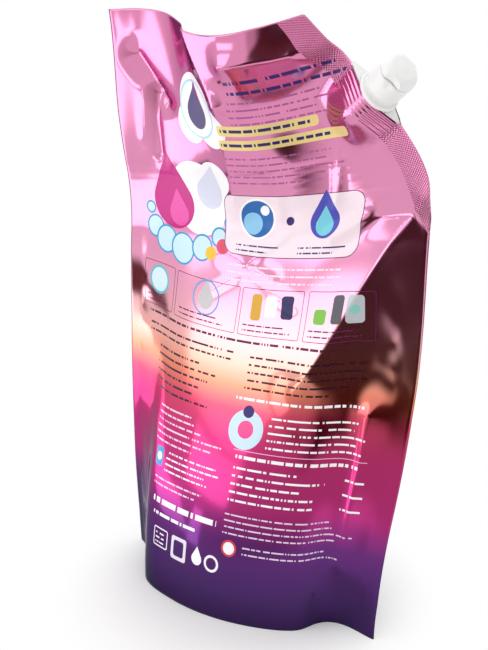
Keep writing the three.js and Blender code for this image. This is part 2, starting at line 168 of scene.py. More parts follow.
def stations(values: tuple[float, ...], share: np.ndarray) -> np.ndarray:
    """Reads a smooth line through even stations.

    Args:
        values: the line's heights at its stations.
        share: where to read it, from 0 to 1.

    Returns:
        The line's height at each place.
    """
    heights = np.asarray(values, float)
    last = len(heights) - 1
    place = clamp(np.asarray(share, float)) * last
    at = np.minimum(np.floor(place).astype(int), last)
    w = place - at
    p0, p1 = heights[np.maximum(at - 1, 0)], heights[at]
    p2, p3 = heights[np.minimum(at + 1, last)], heights[np.minimum(at + 2, last)]
    v0, v1 = (p2 - p0) / 2, (p3 - p1) / 2
    return (2 * p1 - 2 * p2 + v0 + v1) * w ** 3 + (3 * p2 - 3 * p1 - 2 * v0 - v1) * w ** 2 + v0 * w + p1


class Side(Enum):
    """The panels of the pouch, in the order of their material slots."""

    LABEL = 0
    SMALL_PRINT = 1
    REAR = 2
    GUSSET = 3


class Ink(str, Enum):
    """Inks that several marks are printed in."""

    WHITE = "FBFAFC"
    INDIGO = "33256B"
    PLUM = "6B1F52"
    MAGENTA = "C2177E"
    MAUVE = "B05A97"
    LILAC = "E9D4EA"
    BLUSH = "F8E2EC"
    GOLD = "F0D98C"
    DARK = "331626"
    BUBBLE = "CBEAF6"
    BUBBLE_EDGE = "3F9CCB"


@dataclass(frozen=True)
class Crease:
    """A fold line on the flat film.

    Attributes:
        start: one end across and up the film, in mm.
        end: the other end, in mm.
        width: half width, in mm.
        depth: height towards the label side, in mm.
    """

    start: Pair
    end: Pair
    width: float
    depth: float

    def height(self, s: np.ndarray, t: np.ndarray) -> np.ndarray:
        """Height of the crease over the film at each place.

        Args:
            s: places across the film, in mm.
            t: places up the film, in mm.

        Returns:
            The heights, in mm.
        """
        run = np.subtract(self.end, self.start)
        along = clamp(((s - self.start[0]) * run[0] + (t - self.start[1]) * run[1]) / (run @ run))
        away = np.hypot(s - self.start[0] - run[0] * along, t - self.start[1] - run[1] * along)
        return self.depth * clamp(1 - away / self.width) ** 2


@dataclass(frozen=True)
class Puckers:
    """Small waves where the full film is gathered into the side seals, in mm.

    Attributes:
        length: length of a wave along the seal, as its radius.
        wander: how far the waves stray from an even spacing, in radians.
        wander_length: length of that straying, as its radius.
        swell_length: length over which the waves swell and die away, as its radius.
        swell_start: where they are in that swelling at the foot, in radians.
        inset: distance of the deepest waves from the seal's inner edge.
        reach: distance over which they fade from there.
        depth: height of a wave.
        foot_fade: height over which they grow from the foot.
        head_fade: height over which they fade towards the top.
    """

    length: float = 6.1
    wander: float = 1.7
    wander_length: float = 23.0
    swell_length: float = 41.0
    swell_start: float = 0.6
    inset: float = 5.0
    reach: float = 7.0
    depth: float = 0.55
    foot_fade: float = 30.0
    head_fade: float = 60.0


@dataclass(frozen=True)
class SpoutSizes:
    """Sizes of the welded spout and its cap, in mm, along its own axis from the film's cut edge."""

    boat_place: float = 0.49
    boat_length: float = 38.0
    boat_width: float = 15.6
    boat_height: float = 12.0
    boat_tip: float = 1.2
    boat_flat: float = 5.0
    ribs: int = 5
    rib_depth: float = 0.5
    bore: float = 11.6
    neck: float = 16.0
    flange: float = 21.4
    flange_rise: float = 1.0
    flange_thickness: float = 2.0
    neck_length: float = 2.4
    seat: float = 14.6
    clearance: float = 0.3
    cap: float = 18.8
    collar_height: float = 10.0
    lid_height: float = 5.6
    lid_fillet: float = 4.2
    lid_crown: float = 0.5
    lid_wall: float = 3.2
    lid_roof: float = 1.6
    plug_depth: float = 3.0
    plug_wall: float = 0.9
    cap_turn: float = 15.0
    hinge_width: float = 9.0
    hinge_ear: float = 1.2
    ear_height: float = 2.4
    thumb_width: float = 7.0
    thumb_foot_share: float = 0.3
    thumb_height: float = 4.0
    thumb_depth: float = 1.4
    scoop_radius: float = 9.0
    scoop_bite: float = 2.3

    @property
    def rib_pitch(self) -> float:
        """Distance from rib to rib."""
        return self.boat_height / (self.ribs - 0.5)

    @property
    def seat_base(self) -> float:
        """Height of the shoulder that the collar sits on."""
        return self.flange_rise + self.flange_thickness + self.neck_length

    @property
    def parting(self) -> float:
        """Height of the line between collar and lid."""
        return self.seat_base + self.clearance + self.collar_height

    @property
    def lid_base(self) -> float:
        """Height of the lid's lower rim."""
        return self.parting + self.clearance


@dataclass
class FilmForm:
    """Form of the filled pouch, worked out from its flat film in mm.

    A place on the film is s across from the plain side seal and t up from the foot.
    """

    spout: SpoutSizes
    waves: Puckers = Puckers()
    width: float = 205.0
    height: float = 336.0
    side_seal: float = 9.0
    top_seal: float = 11.0
    seal_thickness: float = 0.8
    cut_across: float = 59.0
    cut_down: float = 99.0
    shoulder: float = 45.0
    belly: tuple[float, ...] = (0, 14, 33, 39, 39, 33, 21, 0, 0)
    top_edge: tuple[float, ...] = (10, 6, 7, 16, 27, 30, 27, 21, 13, -1, -26)
    panel_power: float = 0.83
    waist_depths: Pair = (-27.0, -31.0)
    waist_easing: float = 0.85
    waist_rounding: float = 20.0
    rounding_steps: int = 4
    flank_start: float = 140.0
    flank_setback: float = 8.0
    flank_power_across: float = 1.5
    flank_power_up: float = 1.6
    pouch_depth: float = 78.0
    section_power: float = 0.8
    waist_gap: float = 14.0
    waist_left: float = 222.0
    waist_right: float = 242.0
    lean: tuple[float, ...] = (0, -10, -21, -27, -17, -2)
    closing: float = 70.0
    turn_along: float = -0.4
    turn_inward: float = 0.45
    turn_direction: Triple = (-0.52, 0.85, 0.0)
    turn_reach: float = 75.0
    film_over_boat: float = 0.7
    boat_fade: float = 26.0
    boat_taper: float = 14.0
    rib_relief: float = 0.28
    rib_fade: float = 2.0
    fine_fade: float = 4.0
    lattice_step: float = 2.5
    creases: tuple[Crease, ...] = (
        Crease((74, 338), (92, 296), 16, 4),
        Crease((92, 296), (85, 232), 18, 3),
        Crease((201, 234), (148, 140), 34, 7),
        Crease((104, 319), (140, 317), 24, 9.5),
        Crease((14, 312), (36, 286), 14, -4.5),
        Crease((28, 290), (28, 252), 10, -3),
        Crease((78, 201), (114, 189), 11, -1.6),
        Crease((196, 226), (176, 222), 13, -3),
        Crease((182, 36), (184, 120), 24, 6),
    )
    fine_creases: tuple[Crease, ...] = (
        Crease((74, 337), (84, 330), 5, 1.2),
        Crease((20, 294), (17, 262), 6, 1.0),
        Crease((96, 198), (120, 214), 6, 0.9),
        Crease((97, 195), (72, 178), 6, 0.8),
        Crease((100, 192), (132, 176), 7, 0.9),
        Crease((150, 213), (199, 236), 10, 2.2),
        Crease((160, 300), (150, 232), 7, 1.1),
        Crease((178, 261), (177, 246), 4, 1.2),
        Crease((190, 250), (181, 240), 5, 1.0),
        Crease((110, 262), (116, 226), 8, 1.1),
        Crease((60, 330), (66, 300), 7, -0.8),
    )
    across: np.ndarray = field(init=False)
    upward: np.ndarray = field(init=False)
    place: Matrix = field(init=False)

    def __post_init__(self) -> None:
        """Lays the film without stretching it and finds where the spout sits."""
        columns, rows = round(self.width / self.lattice_step), round(self.height / self.lattice_step)
        ds, dt = self.width / columns, self.height / rows
        s, t = np.meshgrid(np.arange(columns + 1) * ds, np.arange(rows + 1) * dt, indexing="ij")
        depth = self.sheet_depth(s, t)
        self.across = np.zeros_like(depth)
        self.across[0] = stations(self.lean, np.arange(rows + 1) / rows)
        steps = np.sqrt(np.maximum(ds ** 2 - np.diff(depth, axis=0) ** 2, 0))
        self.across[1:] = self.across[0] + np.cumsum(steps, axis=0)
        rise = dt ** 2 - np.diff(depth, axis=1) ** 2 - np.diff(self.across, axis=1) ** 2
        self.upward = np.zeros_like(depth)
        self.upward[:, 1:] = np.cumsum(np.sqrt(np.maximum(rise, 0)), axis=1)
        self.place = self.spout_place()

    @property
    def cut_length(self) -> float:
        """Length of the slanted edge that cuts the corner off."""
        return math.hypot(self.cut_across, self.cut_down)

    @property
    def boat_middle(self) -> Pair:
        """Place of the boat's middle on the flat film."""
        share = self.spout.boat_place
        return self.width - self.cut_across * (1 - share), self.height - self.cut_down * share

    def waist(self, s: np.ndarray) -> np.ndarray:
        """Height on the film where the full belly ends."""
        return mix(self.waist_left, self.waist_right, s / self.width)

    def below_waist(self, s: np.ndarray, t: np.ndarray) -> np.ndarray:
        """Share of the way from the belly to the waist."""
        share = clamp(t / self.waist(s))
        return mix(share, ease(share), self.waist_easing)

    def folded_depth(self, s: np.ndarray, t: np.ndarray) -> np.ndarray:
        """Depth of the label film with a sharp fold at the waist.

        Args:
            s: places across the film, in mm.
            t: places up the film, in mm.

        Returns:
            The depths towards the label side, in mm.
        """
        share = s / self.width
        low = mix(stations(self.belly, share), mix(*self.waist_depths, share), self.below_waist(s, t))
        flank = clamp((s - self.flank_start) / (self.width - self.flank_start)) ** self.flank_power_across
        swing = np.sin(np.pi * clamp(t / self.waist(s)) ** self.flank_power_up)
        low = low - self.flank_setback * flank * swing
        above = clamp((t - self.waist(s)) / (self.height - self.waist(s))) ** self.panel_power
        return mix(low, stations(self.top_edge, share), above)

    def sheet_depth(self, s: np.ndarray, t: np.ndarray) -> np.ndarray:
        """Depth of the label film without its creases, the fold rounded by a mean along the film.

        Args:
            s: places across the film, in mm.
            t: places up the film, in mm.

        Returns:
            The depths towards the label side, in mm.
        """
        last = self.rounding_steps
        reach = np.minimum(self.waist_rounding, np.minimum(t, self.height - t))
        depths = [self.folded_depth(s, t + reach * step / last) for step in range(-last, last + 1)]
        return np.mean(depths, axis=0)

    def read(self, lattice: np.ndarray, s: np.ndarray, t: np.ndarray) -> np.ndarray:
        """Reads a lattice of the laid film between its points.

        Args:
            lattice: values at even steps across and up the film.
            s: places across the film, in mm.
            t: places up the film, in mm.

        Returns:
            The values at those places.
        """
        i = clamp(s / self.width) * (lattice.shape[0] - 1)
        j = clamp(t / self.height) * (lattice.shape[1] - 1)
        a = np.minimum(i.astype(int), lattice.shape[0] - 2)
        b = np.minimum(j.astype(int), lattice.shape[1] - 2)
        low = mix(lattice[a, b], lattice[a + 1, b], i - a)
        return mix(low, mix(lattice[a, b + 1], lattice[a + 1, b + 1], i - a), j - b)

    def cut_frame(self, s: np.ndarray, t: np.ndarray) -> tuple[np.ndarray, np.ndarray]:
        """Distance from the cut edge into the film, and along that edge from the boat's middle.

        Args:
            s: places across the film, in mm.
            t: places up the film, in mm.

        Returns:
            The two distances, in mm.
        """
        inward = (self.width - s) * self.cut_down + (self.height - self.cut_down - t) * self.cut_across
        middle_s, middle_t = self.boat_middle
        along = (s - middle_s) * self.cut_across - (t - middle_t) * self.cut_down
        return inward / self.cut_length, along / self.cut_length

    def thickness(self, s: np.ndarray, t: np.ndarray) -> np.ndarray:
        """Thickness from the label film to the rear film, without the boat.

        Args:
            s: places across the film, in mm.
            t: places up the film, in mm.

        Returns:
            The thicknesses, in mm.
        """
        share = clamp((s - self.side_seal) / (self.width - 2 * self.side_seal))
        below_top = np.minimum(self.height - t, self.cut_frame(s, t)[0]) - self.top_seal
        full = mix(self.pouch_depth, self.waist_gap, self.below_waist(s, t))
        lens = np.maximum(np.sin(np.pi * share), 0) ** self.section_power
        return self.seal_thickness + full * lens * ease(below_top / self.closing)

    def puckers(self, s: np.ndarray, t: np.ndarray) -> np.ndarray:
        """Height of the small waves along the side seals.

        Args:
            s: places across the film, in mm.
            t: places up the film, in mm.

        Returns:
            The heights, in mm.
        """
        waves = self.waves
        crests = np.sin(t / waves.length + waves.wander * np.sin(t / waves.wander_length))
        crests = crests * np.sin(t / waves.swell_length + waves.swell_start)
        middle = self.side_seal + waves.inset
        near = sum(np.exp(-((away - middle) / waves.reach) ** 2) for away in (s, self.width - s))
        ends = ease(t / waves.foot_fade) * ease((self.height - waves.head_fade - t) / waves.head_fade)
        return waves.depth * crests * near * ends

    def slack_points(self, s: np.ndarray, t: np.ndarray, rear: bool) -> np.ndarray:
        """Points on one film without the boat between the films.

        Args:
            s: places across the film.
            t: places up the film.
            rear: whether the points lie on the rear film.

        Returns:
            An array of points in mm, standing on z = 0.
        """
        thick = self.thickness(s, t)
        folds = sum(crease.height(s, t) for crease in self.creases)
        shared = 1 - ease((thick - self.waist_gap / 2) / self.waist_gap)
        fine = sum(crease.height(s, t) for crease in self.fine_creases) + self.puckers(s, t)
        folds = folds + fine * ease((thick - self.seal_thickness) / self.fine_fade)
        depth = self.sheet_depth(s, t) + (folds * shared - thick if rear else folds)
        x = self.read(self.across, s, t) - self.across[-1, 0] / 2
        points = np.stack([x, -depth, self.read(self.upward, s, t)], axis=-1)
        inward, along = self.cut_frame(s, t)
        half = self.spout.boat_length / 2
        fade = 1 - ease((np.hypot(inward, along) - half) / (self.turn_reach - half))
        turn = (self.turn_along * along + self.turn_inward * inward) * fade
        return points + turn[..., None] * np.asarray(self.turn_direction)

    def spout_place(self) -> Matrix:
        """Place of the spout: on the middle of the cut edge, along the film and square to that edge.

        Returns:
            The matrix from the spout's own frame to the pouch's, in mm.
        """
        s, t = self.boat_middle
        step = self.spout.boat_length / 2 / self.cut_length
        ds, dt = self.cut_across * step, self.cut_down * step
        stops = np.array([s, s - ds, s + ds, s - dt]), np.array([t, t + dt, t - dt, t - ds])
        middle = (self.slack_points(*stops, False) + self.slack_points(*stops, True)) / 2
        origin, upper, lower, inside = (Vector(point) for point in middle)
        edge = (lower - upper).normalized()
        outward = (origin - inside).normalized()
        rear = outward.cross(edge).normalized()
        axis = (edge.cross(rear) + outward).normalized()
        turned = Matrix((rear.cross(axis), rear, axis)).transposed().to_4x4()
        return Matrix.Translation(origin) @ turned

    def boat_half(self, along: np.ndarray) -> np.ndarray:
        """Half width of the boat at a distance along it from its middle.

        Args:
            along: the distances, in mm.

        Returns:
            The half widths, in mm.
        """
        sizes = self.spout
        run = (sizes.boat_length - sizes.boat_flat) / 2
        share = clamp((sizes.boat_length / 2 - np.abs(along)) / run)
        return mix(sizes.boat_tip / 2, sizes.boat_width / 2, share)

    def film_points(self, s: np.ndarray, t: np.ndarray, rear: bool) -> np.ndarray:
        """Points on one film, held by the boat and pressed over its ribs.

        Args:
            s: places across the film.
            t: places up the film.
            rear: whether the points lie on the rear film.

        Returns:
            An array of points in mm.
        """
        sizes = self.spout
        place = np.array(self.place)
        turned, origin = place[:3, :3], place[:3, 3]
        local = (self.slack_points(s, t, rear) - origin) @ turned
        past = np.abs(local[..., 0]) - sizes.boat_length / 2 - self.film_over_boat
        below = -local[..., 2] - sizes.boat_height - self.film_over_boat
        grip = (1 - ease(past / self.boat_taper)) * (1 - ease(below / self.boat_fade))
        on_ribs = ease(0.5 - past / self.rib_fade) * ease(0.5 - below / self.rib_fade)
        ribs = np.cos(2 * np.pi * (local[..., 2] + sizes.rib_pitch / 4) / sizes.rib_pitch)
        hold = self.boat_half(local[..., 0]) + sizes.clearance + self.rib_relief * ribs * on_ribs
        local[..., 1] = mix(local[..., 1], hold if rear else -hold, grip)
        return local @ turned.T + origin

    def upper_edge(self, s: np.ndarray) -> np.ndarray:
        """Height of the upper edge on the flat film: straight, slanted, then rounded into the side seal.

        Args:
            s: places across the film, in mm.

        Returns:
            The heights, in mm.
        """
        past_cut = np.maximum(s - self.width + self.cut_across, 0)
        slanted = self.height - past_cut * self.cut_down / self.cut_across
        run = self.shoulder * math.tan(math.atan2(self.cut_across, self.cut_down) / 2)
        across = s - self.width + self.shoulder
        rise = np.sqrt(np.maximum(self.shoulder ** 2 - across ** 2, 0))
        rounded = self.height - self.cut_down - run + rise
        return np.where(s > self.width - run * self.cut_across / self.cut_length, rounded, slanted)

    def seal_drop(self, s: np.ndarray) -> np.ndarray:
        """Width of the upper seal, measured upwards.

        Args:
            s: places across the film, in mm.

        Returns:
            The widths, in mm.
        """
        slope = self.cut_down / self.cut_across
        slanted = self.top_seal * self.cut_length / self.cut_across
        return np.maximum(self.top_seal, slanted - np.maximum(self.width - self.cut_across - s, 0) * slope)


@dataclass(frozen=True)
class FilmFinish:
    """Metallised PET laminate, reverse printed.

    The ink tints a mirror-bright layer, so the film shows the room in its own colour, and the clear film on
    top adds a thin gloss without colour. White ink behind a print hides the metal there.
    """

    # Printed ground from the foot to the top edge, by share of the film's height
    ramp: tuple[tuple[float, str], ...] = (
        (0.0, "331550"), (0.05, "3F1D5C"), (0.1, "52226A"), (0.135, "662674"), (0.165, "962A7C"),
        (0.19, "BE3080"), (0.29, "C83476"), (0.345, "D74A68"), (0.385, "E9876C"), (0.42, "EFAA9A"),
        (0.46, "EEAFB4"), (0.52, "E8A2BB"), (0.6, "E090B6"), (1.0, "DB84AE"),
    )
    foot: str = "2F1648"
    metallic: float = 0.97
    roughness: float = 0.12
    inked_metallic: float = 0.1
    inked_roughness: float = 0.3
    # Difference from the ground at which a mark starts to hide the metal, and hides it all
    ink_start: float = 0.01
    ink_full: float = 0.06
    edge_tint: str = "97789E"
    coat: float = 0.3
    coat_ior: float = 1.5
    coat_roughness: float = 0.05
    # Grid of the sealing jaws in mm, at its real spacing, as deep as it needs to show
    emboss_pitch: float = 1.5
    emboss_depth: float = 0.16


@dataclass(frozen=True)
class MouldingFinish:
    """Injection-moulded polyethylene: milky white with a waxy, soft gloss."""

    colour: str = "F1F1F0"
    roughness: float = 0.42
    ior: float = 1.5


@dataclass
class FilmPrint:
    """Inks laid one over another on the flat film.

    Attributes:
        tree: the film material's node tree.
        place: place on the flat film, in mm.
        colour: the colour so far.
        tip_angle: half angle of a drop's tip, in degrees.
        gap_share: share of the cells in a row of small print that stay empty.
        row_seed: what sets one row of small print apart from the next.
        row_slack: how far a row's number may be off.
    """

    tree: NodeTree
    place: Node
    colour: Node
    tip_angle: float = 30.0
    gap_share: float = 0.22
    row_seed: float = 61.3
    row_slack: float = 0.1

    def lay(self, mask: Node, ink: str) -> None:
        """Prints one ink where the mask is one."""
        self.colour = add_node(self.tree, "Mix", {0: mask, 6: self.colour, 7: linear(ink)}, data_type="RGBA")

    def from_middle(self, middle: Pair) -> Node:
        """Place measured from a point."""
        return add_node(self.tree, "VectorMath", {0: self.place, 1: (*middle, 0)}, operation="SUBTRACT")

    def away(self, middle: Pair) -> Node:
        """Distance from a point."""
        return add_node(self.tree, "VectorMath", {0: self.place, 1: (*middle, 0)}, operation="DISTANCE")

    def measure(self, vector: Node, direction: Triple) -> Node:
        """Length of a vector along a direction."""
        return add_node(self.tree, "VectorMath", {0: vector, 1: direction}, operation="DOT_PRODUCT")

    def box(self, middle: Pair, size: Pair, radius: float) -> Node:
        """Mask of a rounded box.

        Args:
            middle: its middle across and up the film, in mm.
            size: its width and height.
            radius: radius of its corners.

        Returns:
            The mask.
        """
        tree = self.tree
        half = (size[0] / 2 - radius, size[1] / 2 - radius, 0)
        away = add_node(tree, "VectorMath", {0: self.from_middle(middle)}, operation="ABSOLUTE")
        away = add_node(tree, "VectorMath", {0: away, 1: half}, operation="SUBTRACT")
        away = add_node(tree, "VectorMath", {0: away, 1: (0, 0, 0)}, operation="MAXIMUM")
        away = add_node(tree, "VectorMath", {0: away}, operation="LENGTH")
        return add_node(tree, "Math", {0: away, 1: radius}, operation="LESS_THAN")

    def frame(self, middle: Pair, size: Pair, radius: float,
              line: float) -> Node:
        """Mask of a rounded box's outline.

        Args:
            middle: its middle across and up the film, in mm.
            size: its width and height.
            radius: radius of its corners.
            line: width of its line.

        Returns:
            The mask.
        """
        inside = self.box(middle, (size[0] - 2 * line, size[1] - 2 * line), radius - line)
        outside = self.box(middle, size, radius)
        return add_node(self.tree, "Math", {0: outside, 1: inside}, operation="SUBTRACT")

    def disc(self, middle: Pair, diameter: float) -> Node:
        """Mask of a disc."""
        return add_node(self.tree, "Math", {0: self.away(middle), 1: diameter / 2}, operation="LESS_THAN")

    def ring(self, middle: Pair, diameter: float, line: float) -> Node:
        """Mask of a ring."""
        return add_node(self.tree, "Math", {0: self.away(middle), 1: diameter / 2, 2: line / 2},
                        operation="COMPARE")

    def drop(self, middle: Pair, diameter: float, turn: float) -> Node:
        """Mask of a drop whose tip is turned from upright by an angle in degrees.

        Args:
            middle: its middle across and up the film, in mm.
            diameter: diameter of its round end.
            turn: the angle, towards the right.

        Returns:
            The mask.
        """
        tree, radius, tip_angle = self.tree, diameter / 2, math.radians(self.tip_angle)
        lean, upright = math.sin(math.radians(turn)), math.cos(math.radians(turn))
        local = self.from_middle(middle)
        side = add_node(tree, "Math", {0: self.measure(local, (upright, -lean, 0))}, operation="ABSOLUTE")
        up = self.measure(local, (lean, upright, 0))
        slope = add_node(tree, "Math", {0: up, 1: -math.tan(tip_angle), 2: radius / math.cos(tip_angle)},
                         operation="MULTIPLY_ADD")
        tip = overlap(tree, [
            add_node(tree, "Math", {0: side, 1: slope}, operation="LESS_THAN"),
            add_node(tree, "Math", {0: up, 1: radius * math.sin(tip_angle)}, operation="GREATER_THAN"),
        ])
        return add_node(tree, "Math", {0: tip, 1: self.disc(middle, diameter)}, operation="MAXIMUM")

    def lines(self, corner: Pair, width: float, rows: int, pitch: float, weight: float,
              cell: float, ragged: float = 0.6) -> Node:
        """Mask of rows of short bars, which stand for small print.

        Args:
            corner: upper left corner of the block, in mm.
            width: greatest length of a row.
            rows: number of rows.
            pitch: distance from row to row.
            weight: height of the bars.
            cell: length of the smallest bar or gap.
            ragged: shortest row as a share of the width.

        Returns:
            The mask.
        """
        tree = self.tree
        local = self.from_middle((corner[0], corner[1] - rows * pitch))
        cells = add_node(tree, "VectorMath", {0: local, 1: (cell, pitch, 1)}, operation="DIVIDE")
        whole = add_node(tree, "VectorMath", {0: cells}, operation="FLOOR")
        part = add_node(tree, "VectorMath", {0: cells}, operation="FRACTION")
        across = self.measure(local, (1, 0, 0))
        row = self.measure(whole, (0, 1, 0))
        up = self.measure(part, (0, 1, 0))
        word = self.measure(whole, (1, self.row_seed + corner[1], 0))
        word = add_node(tree, "TexWhiteNoise", {"W": word}, noise_dimensions="1D")
        line = add_node(tree, "Math", {0: row, 1: corner[1]}, operation="ADD")
        line = add_node(tree, "TexWhiteNoise", {"W": line}, noise_dimensions="1D")
        end = add_node(tree, "MapRange", {0: line, 3: ragged * width, 4: width})
        middle = (rows - 1) / 2
        return overlap(tree, [
            add_node(tree, "Math", {0: word, 1: self.gap_share}, operation="GREATER_THAN"),
            add_node(tree, "Math", {0: up, 1: 0.5, 2: weight / pitch / 2}, operation="COMPARE"),
            add_node(tree, "Math", {0: row, 1: middle, 2: middle + self.row_slack}, operation="COMPARE"),
            add_node(tree, "Math", {0: across, 1: 0.0}, operation="GREATER_THAN"),
            add_node(tree, "Math", {0: across, 1: end}, operation="LESS_THAN"),
        ])

    def bubbles(self, line: float, *spots: tuple[Pair, float]) -> None:
        """Prints pale discs with a ring round each.

        Args:
            line: width of the rings' line.
            *spots: each disc's middle and diameter.
        """
        for middle, diameter in spots:
            self.lay(self.disc(middle, diameter), Ink.BUBBLE)
            self.lay(self.ring(middle, diameter, line), Ink.BUBBLE_EDGE)

    def marks(self, shape: Callable[..., Node], *rows: tuple) -> None:
        """Prints marks of one shape, one over another.

        Args:
            shape: the method that gives the shape's mask.
            *rows: each mark's ink, and the values that the method takes.
        """
        for ink, *values in rows:
            self.lay(shape(*values), ink)

    def label(self) -> None:
        """Prints the label's upper field: a cluster of drops and bubbles, pale panels and a row of boxes."""
        self.marks(self.disc, (Ink.WHITE, (68, 294), 34), (Ink.WHITE, (80, 282), 26),
                   (Ink.WHITE, (60, 280), 24), (Ink.WHITE, (58, 232), 46), (Ink.WHITE, (72, 246), 24))
        self.marks(self.drop, (Ink.INDIGO, (68, 288), 19, 0), (Ink.MAGENTA, (37, 224), 32, -8),
                   ("E24FA4", (41, 218), 15, -8), ("D9DDEE", (66, 236), 20, 14))
        self.bubbles(1.2, ((22, 206), 13), ((32, 200), 16), ((46, 198), 18), ((61, 202), 15), ((73, 210), 11),
                     ((80, 219), 7), ((18, 217), 7))
        self.marks(self.disc, ("F3C32F", (68, 200), 8), ("E2566F", (76, 205), 9))
        self.marks(self.box, (Ink.GOLD, (116, 282), (58, 6.4), 2), (Ink.GOLD, (124, 273), (76, 6.4), 2),
                   ("F6E4EC", (122, 220), (90, 36), 7))
        self.marks(self.frame, (Ink.PLUM, (122, 220), (90, 36), 7, 0.5),
                   (Ink.PLUM, (28, 171), (28, 27), 1, 0.4), (Ink.PLUM, (69, 171), (50, 27), 1, 0.4),
                   (Ink.PLUM, (117, 171), (42, 27), 1, 0.4), (Ink.PLUM, (161, 171), (40, 27), 1, 0.4))
        self.marks(self.disc, ("2468AE", (100, 224), 23), ("8CC7EA", (97, 221), 13),
                   (Ink.WHITE, (105, 229), 6), (Ink.INDIGO, (122, 223), 5), ("D6EEF4", (28, 174), 16))
        self.marks(self.drop, ("4C4FB4", (144, 222), 18, 0), ("77D0E0", (144, 220), 11, 0),
                   ("C9C7C9", (69, 173), 12, 0))
        self.marks(self.ring, ("A9DDF2", (68, 290), 33, 1.4), (Ink.WHITE, (100, 224), 23, 1.3),
                   ("62B9CF", (28, 174), 16, 1.5), ("5AA6DC", (69, 174), 20, 1.1))
        self.marks(self.box, ("D9A632", (107, 174), (7, 15), 2), ("F2F3F8", (117, 175), (8, 12), 2),
                   ("252A58", (128, 175), (8, 13), 2), ("7CC142", (150, 171), (8, 8), 2),
                   ("55585C", (161, 175), (7, 15), 2), ("C4C9CB", (171, 175), (9, 15), 2))
        self.marks(self.disc, ("8FD4C8", (171, 175), 5))
        self.marks(
            self.lines,
            (Ink.INDIGO, (100, 313), 62, 2, 5.6, 1.79, 1.04, 0.85),
            (Ink.MAUVE, (98, 301), 62, 4, 4.2, 1.09, 0.88, 0.7),
            (Ink.INDIGO, (90, 284.8), 52, 1, 5.6, 1.95, 1.04, 0.9),
            (Ink.INDIGO, (88, 275.8), 70, 1, 5.6, 1.95, 1.04, 0.9),
            (Ink.MAUVE, (86, 266), 74, 5, 4.4, 1.09, 0.88, 0.75),
            (Ink.INDIGO, (86, 209.5), 30, 2, 3.0, 0.86, 0.75),
            (Ink.INDIGO, (129, 209.5), 30, 2, 3.0, 0.86, 0.75),
            ("FBE3EF", (82, 198), 88, 3, 4.0, 1.01, 0.88, 0.75),
            (Ink.PLUM, (17, 165), 21, 2, 3.0, 0.8, 0.75),
            (Ink.PLUM, (48, 165), 40, 2, 3.0, 0.8, 0.75),
            (Ink.PLUM, (99, 165), 36, 2, 3.0, 0.8, 0.75),
            (Ink.PLUM, (144, 165), 34, 2, 3.0, 0.8, 0.75),
            ("4A1A33", (20, 156), 146, 1, 4.4, 1.4, 0.96, 0.95),
        )

    def small_print(self) -> None:
        """Prints the label's lower field: blocks of greeked small print and a few plain marks."""
        self.marks(self.ring, ("CDE8F5", (114, 106), 16, 6))
        self.marks(self.box, ("F5B9D8", (148, 94.5), (78, 0.4), 0.2), ("3A97D3", (54, 76), (8, 11), 2),
                   ("E9E4F0", (82, 31), (12, 13), 1.5))
        self.marks(self.frame, (Ink.WHITE, (66, 32), (13, 11), 1.5, 0.7),
                   ("4B2466", (82, 31), (8, 9), 1.5, 1.5))
        self.marks(self.disc, (Ink.INDIGO, (114, 116), 7), (Ink.WHITE, (116, 41), 8),
                   (Ink.WHITE, (54, 76), 5))
        self.marks(self.drop, (Ink.WHITE, (96, 30), 7, 0))
        self.marks(self.ring, ("D6404A", (116, 41), 8, 1.2), (Ink.WHITE, (106, 30), 8, 1.4))
        self.marks(
            self.lines,
            (Ink.DARK, (22, 149), 76, 2, 4.2, 1.17, 0.96, 0.9),
            (Ink.DARK, (34, 138), 60, 6, 4.6, 1.25, 0.96, 0.55),
            (Ink.DARK, (108, 148), 72, 5, 4.3, 1.17, 0.96, 0.7),
            (Ink.WHITE, (104, 125), 80, 1, 4.6, 1.48, 1.04, 0.95),
            (Ink.WHITE, (128, 116), 58, 5, 4.0, 1.09, 0.88, 0.8),
            (Ink.WHITE, (111, 93.5), 74, 1, 5.2, 1.79, 1.04, 0.95),
            (Ink.WHITE, (111, 87), 60, 5, 4.4, 1.17, 0.96, 0.55),
            (Ink.WHITE, (176, 87), 12, 3, 8.0, 1.17, 0.96, 0.9),
            (Ink.LILAC, (111, 61), 76, 4, 3.4, 0.8, 0.75, 0.8),
            (Ink.LILAC, (124, 44.5), 60, 2, 3.4, 0.8, 0.75, 0.7),
            ("F3D3E4", (46, 106), 56, 6, 3.8, 1.01, 0.8, 0.5),
            (Ink.WHITE, (61, 82), 44, 4, 3.4, 0.94, 0.8, 0.6),
            (Ink.LILAC, (53, 66), 50, 2, 3.4, 0.94, 0.8, 0.7),
            (Ink.WHITE, (55, 56), 54, 1, 7.5, 3.12, 1.76, 0.95),
            (Ink.WHITE, (57, 47.5), 38, 1, 5.0, 1.79, 1.28, 0.95),
            (Ink.WHITE, (61.5, 35.5), 9, 3, 2.6, 0.8, 0.75, 0.8),
        )

    def rear(self) -> None:
        """Prints the rear side: one large drop in a pale disc, bubbles and a few bars."""
        self.marks(self.disc, (Ink.BLUSH, (102, 214), 104))
        self.marks(self.ring, (Ink.WHITE, (102, 214), 104, 2))
        self.marks(self.drop, (Ink.MAGENTA, (102, 200), 54, 0), ("E86BB2", (96, 192), 26, 0))
        self.bubbles(1.6, ((62, 178), 24), ((146, 182), 28), ((132, 162), 18), ((80, 162), 15),
                     ((152, 244), 14))
        self.marks(self.box, (Ink.BLUSH, (102, 60), (92, 26), 8))
        self.marks(self.lines, (Ink.WHITE, (48, 128), 112, 1, 14, 10, 5, 0.95),
                   (Ink.WHITE, (62, 110), 84, 2, 7, 4, 2.4, 0.8),
                   (Ink.INDIGO, (64, 68), 76, 3, 5.4, 2.6, 1.7, 0.8))


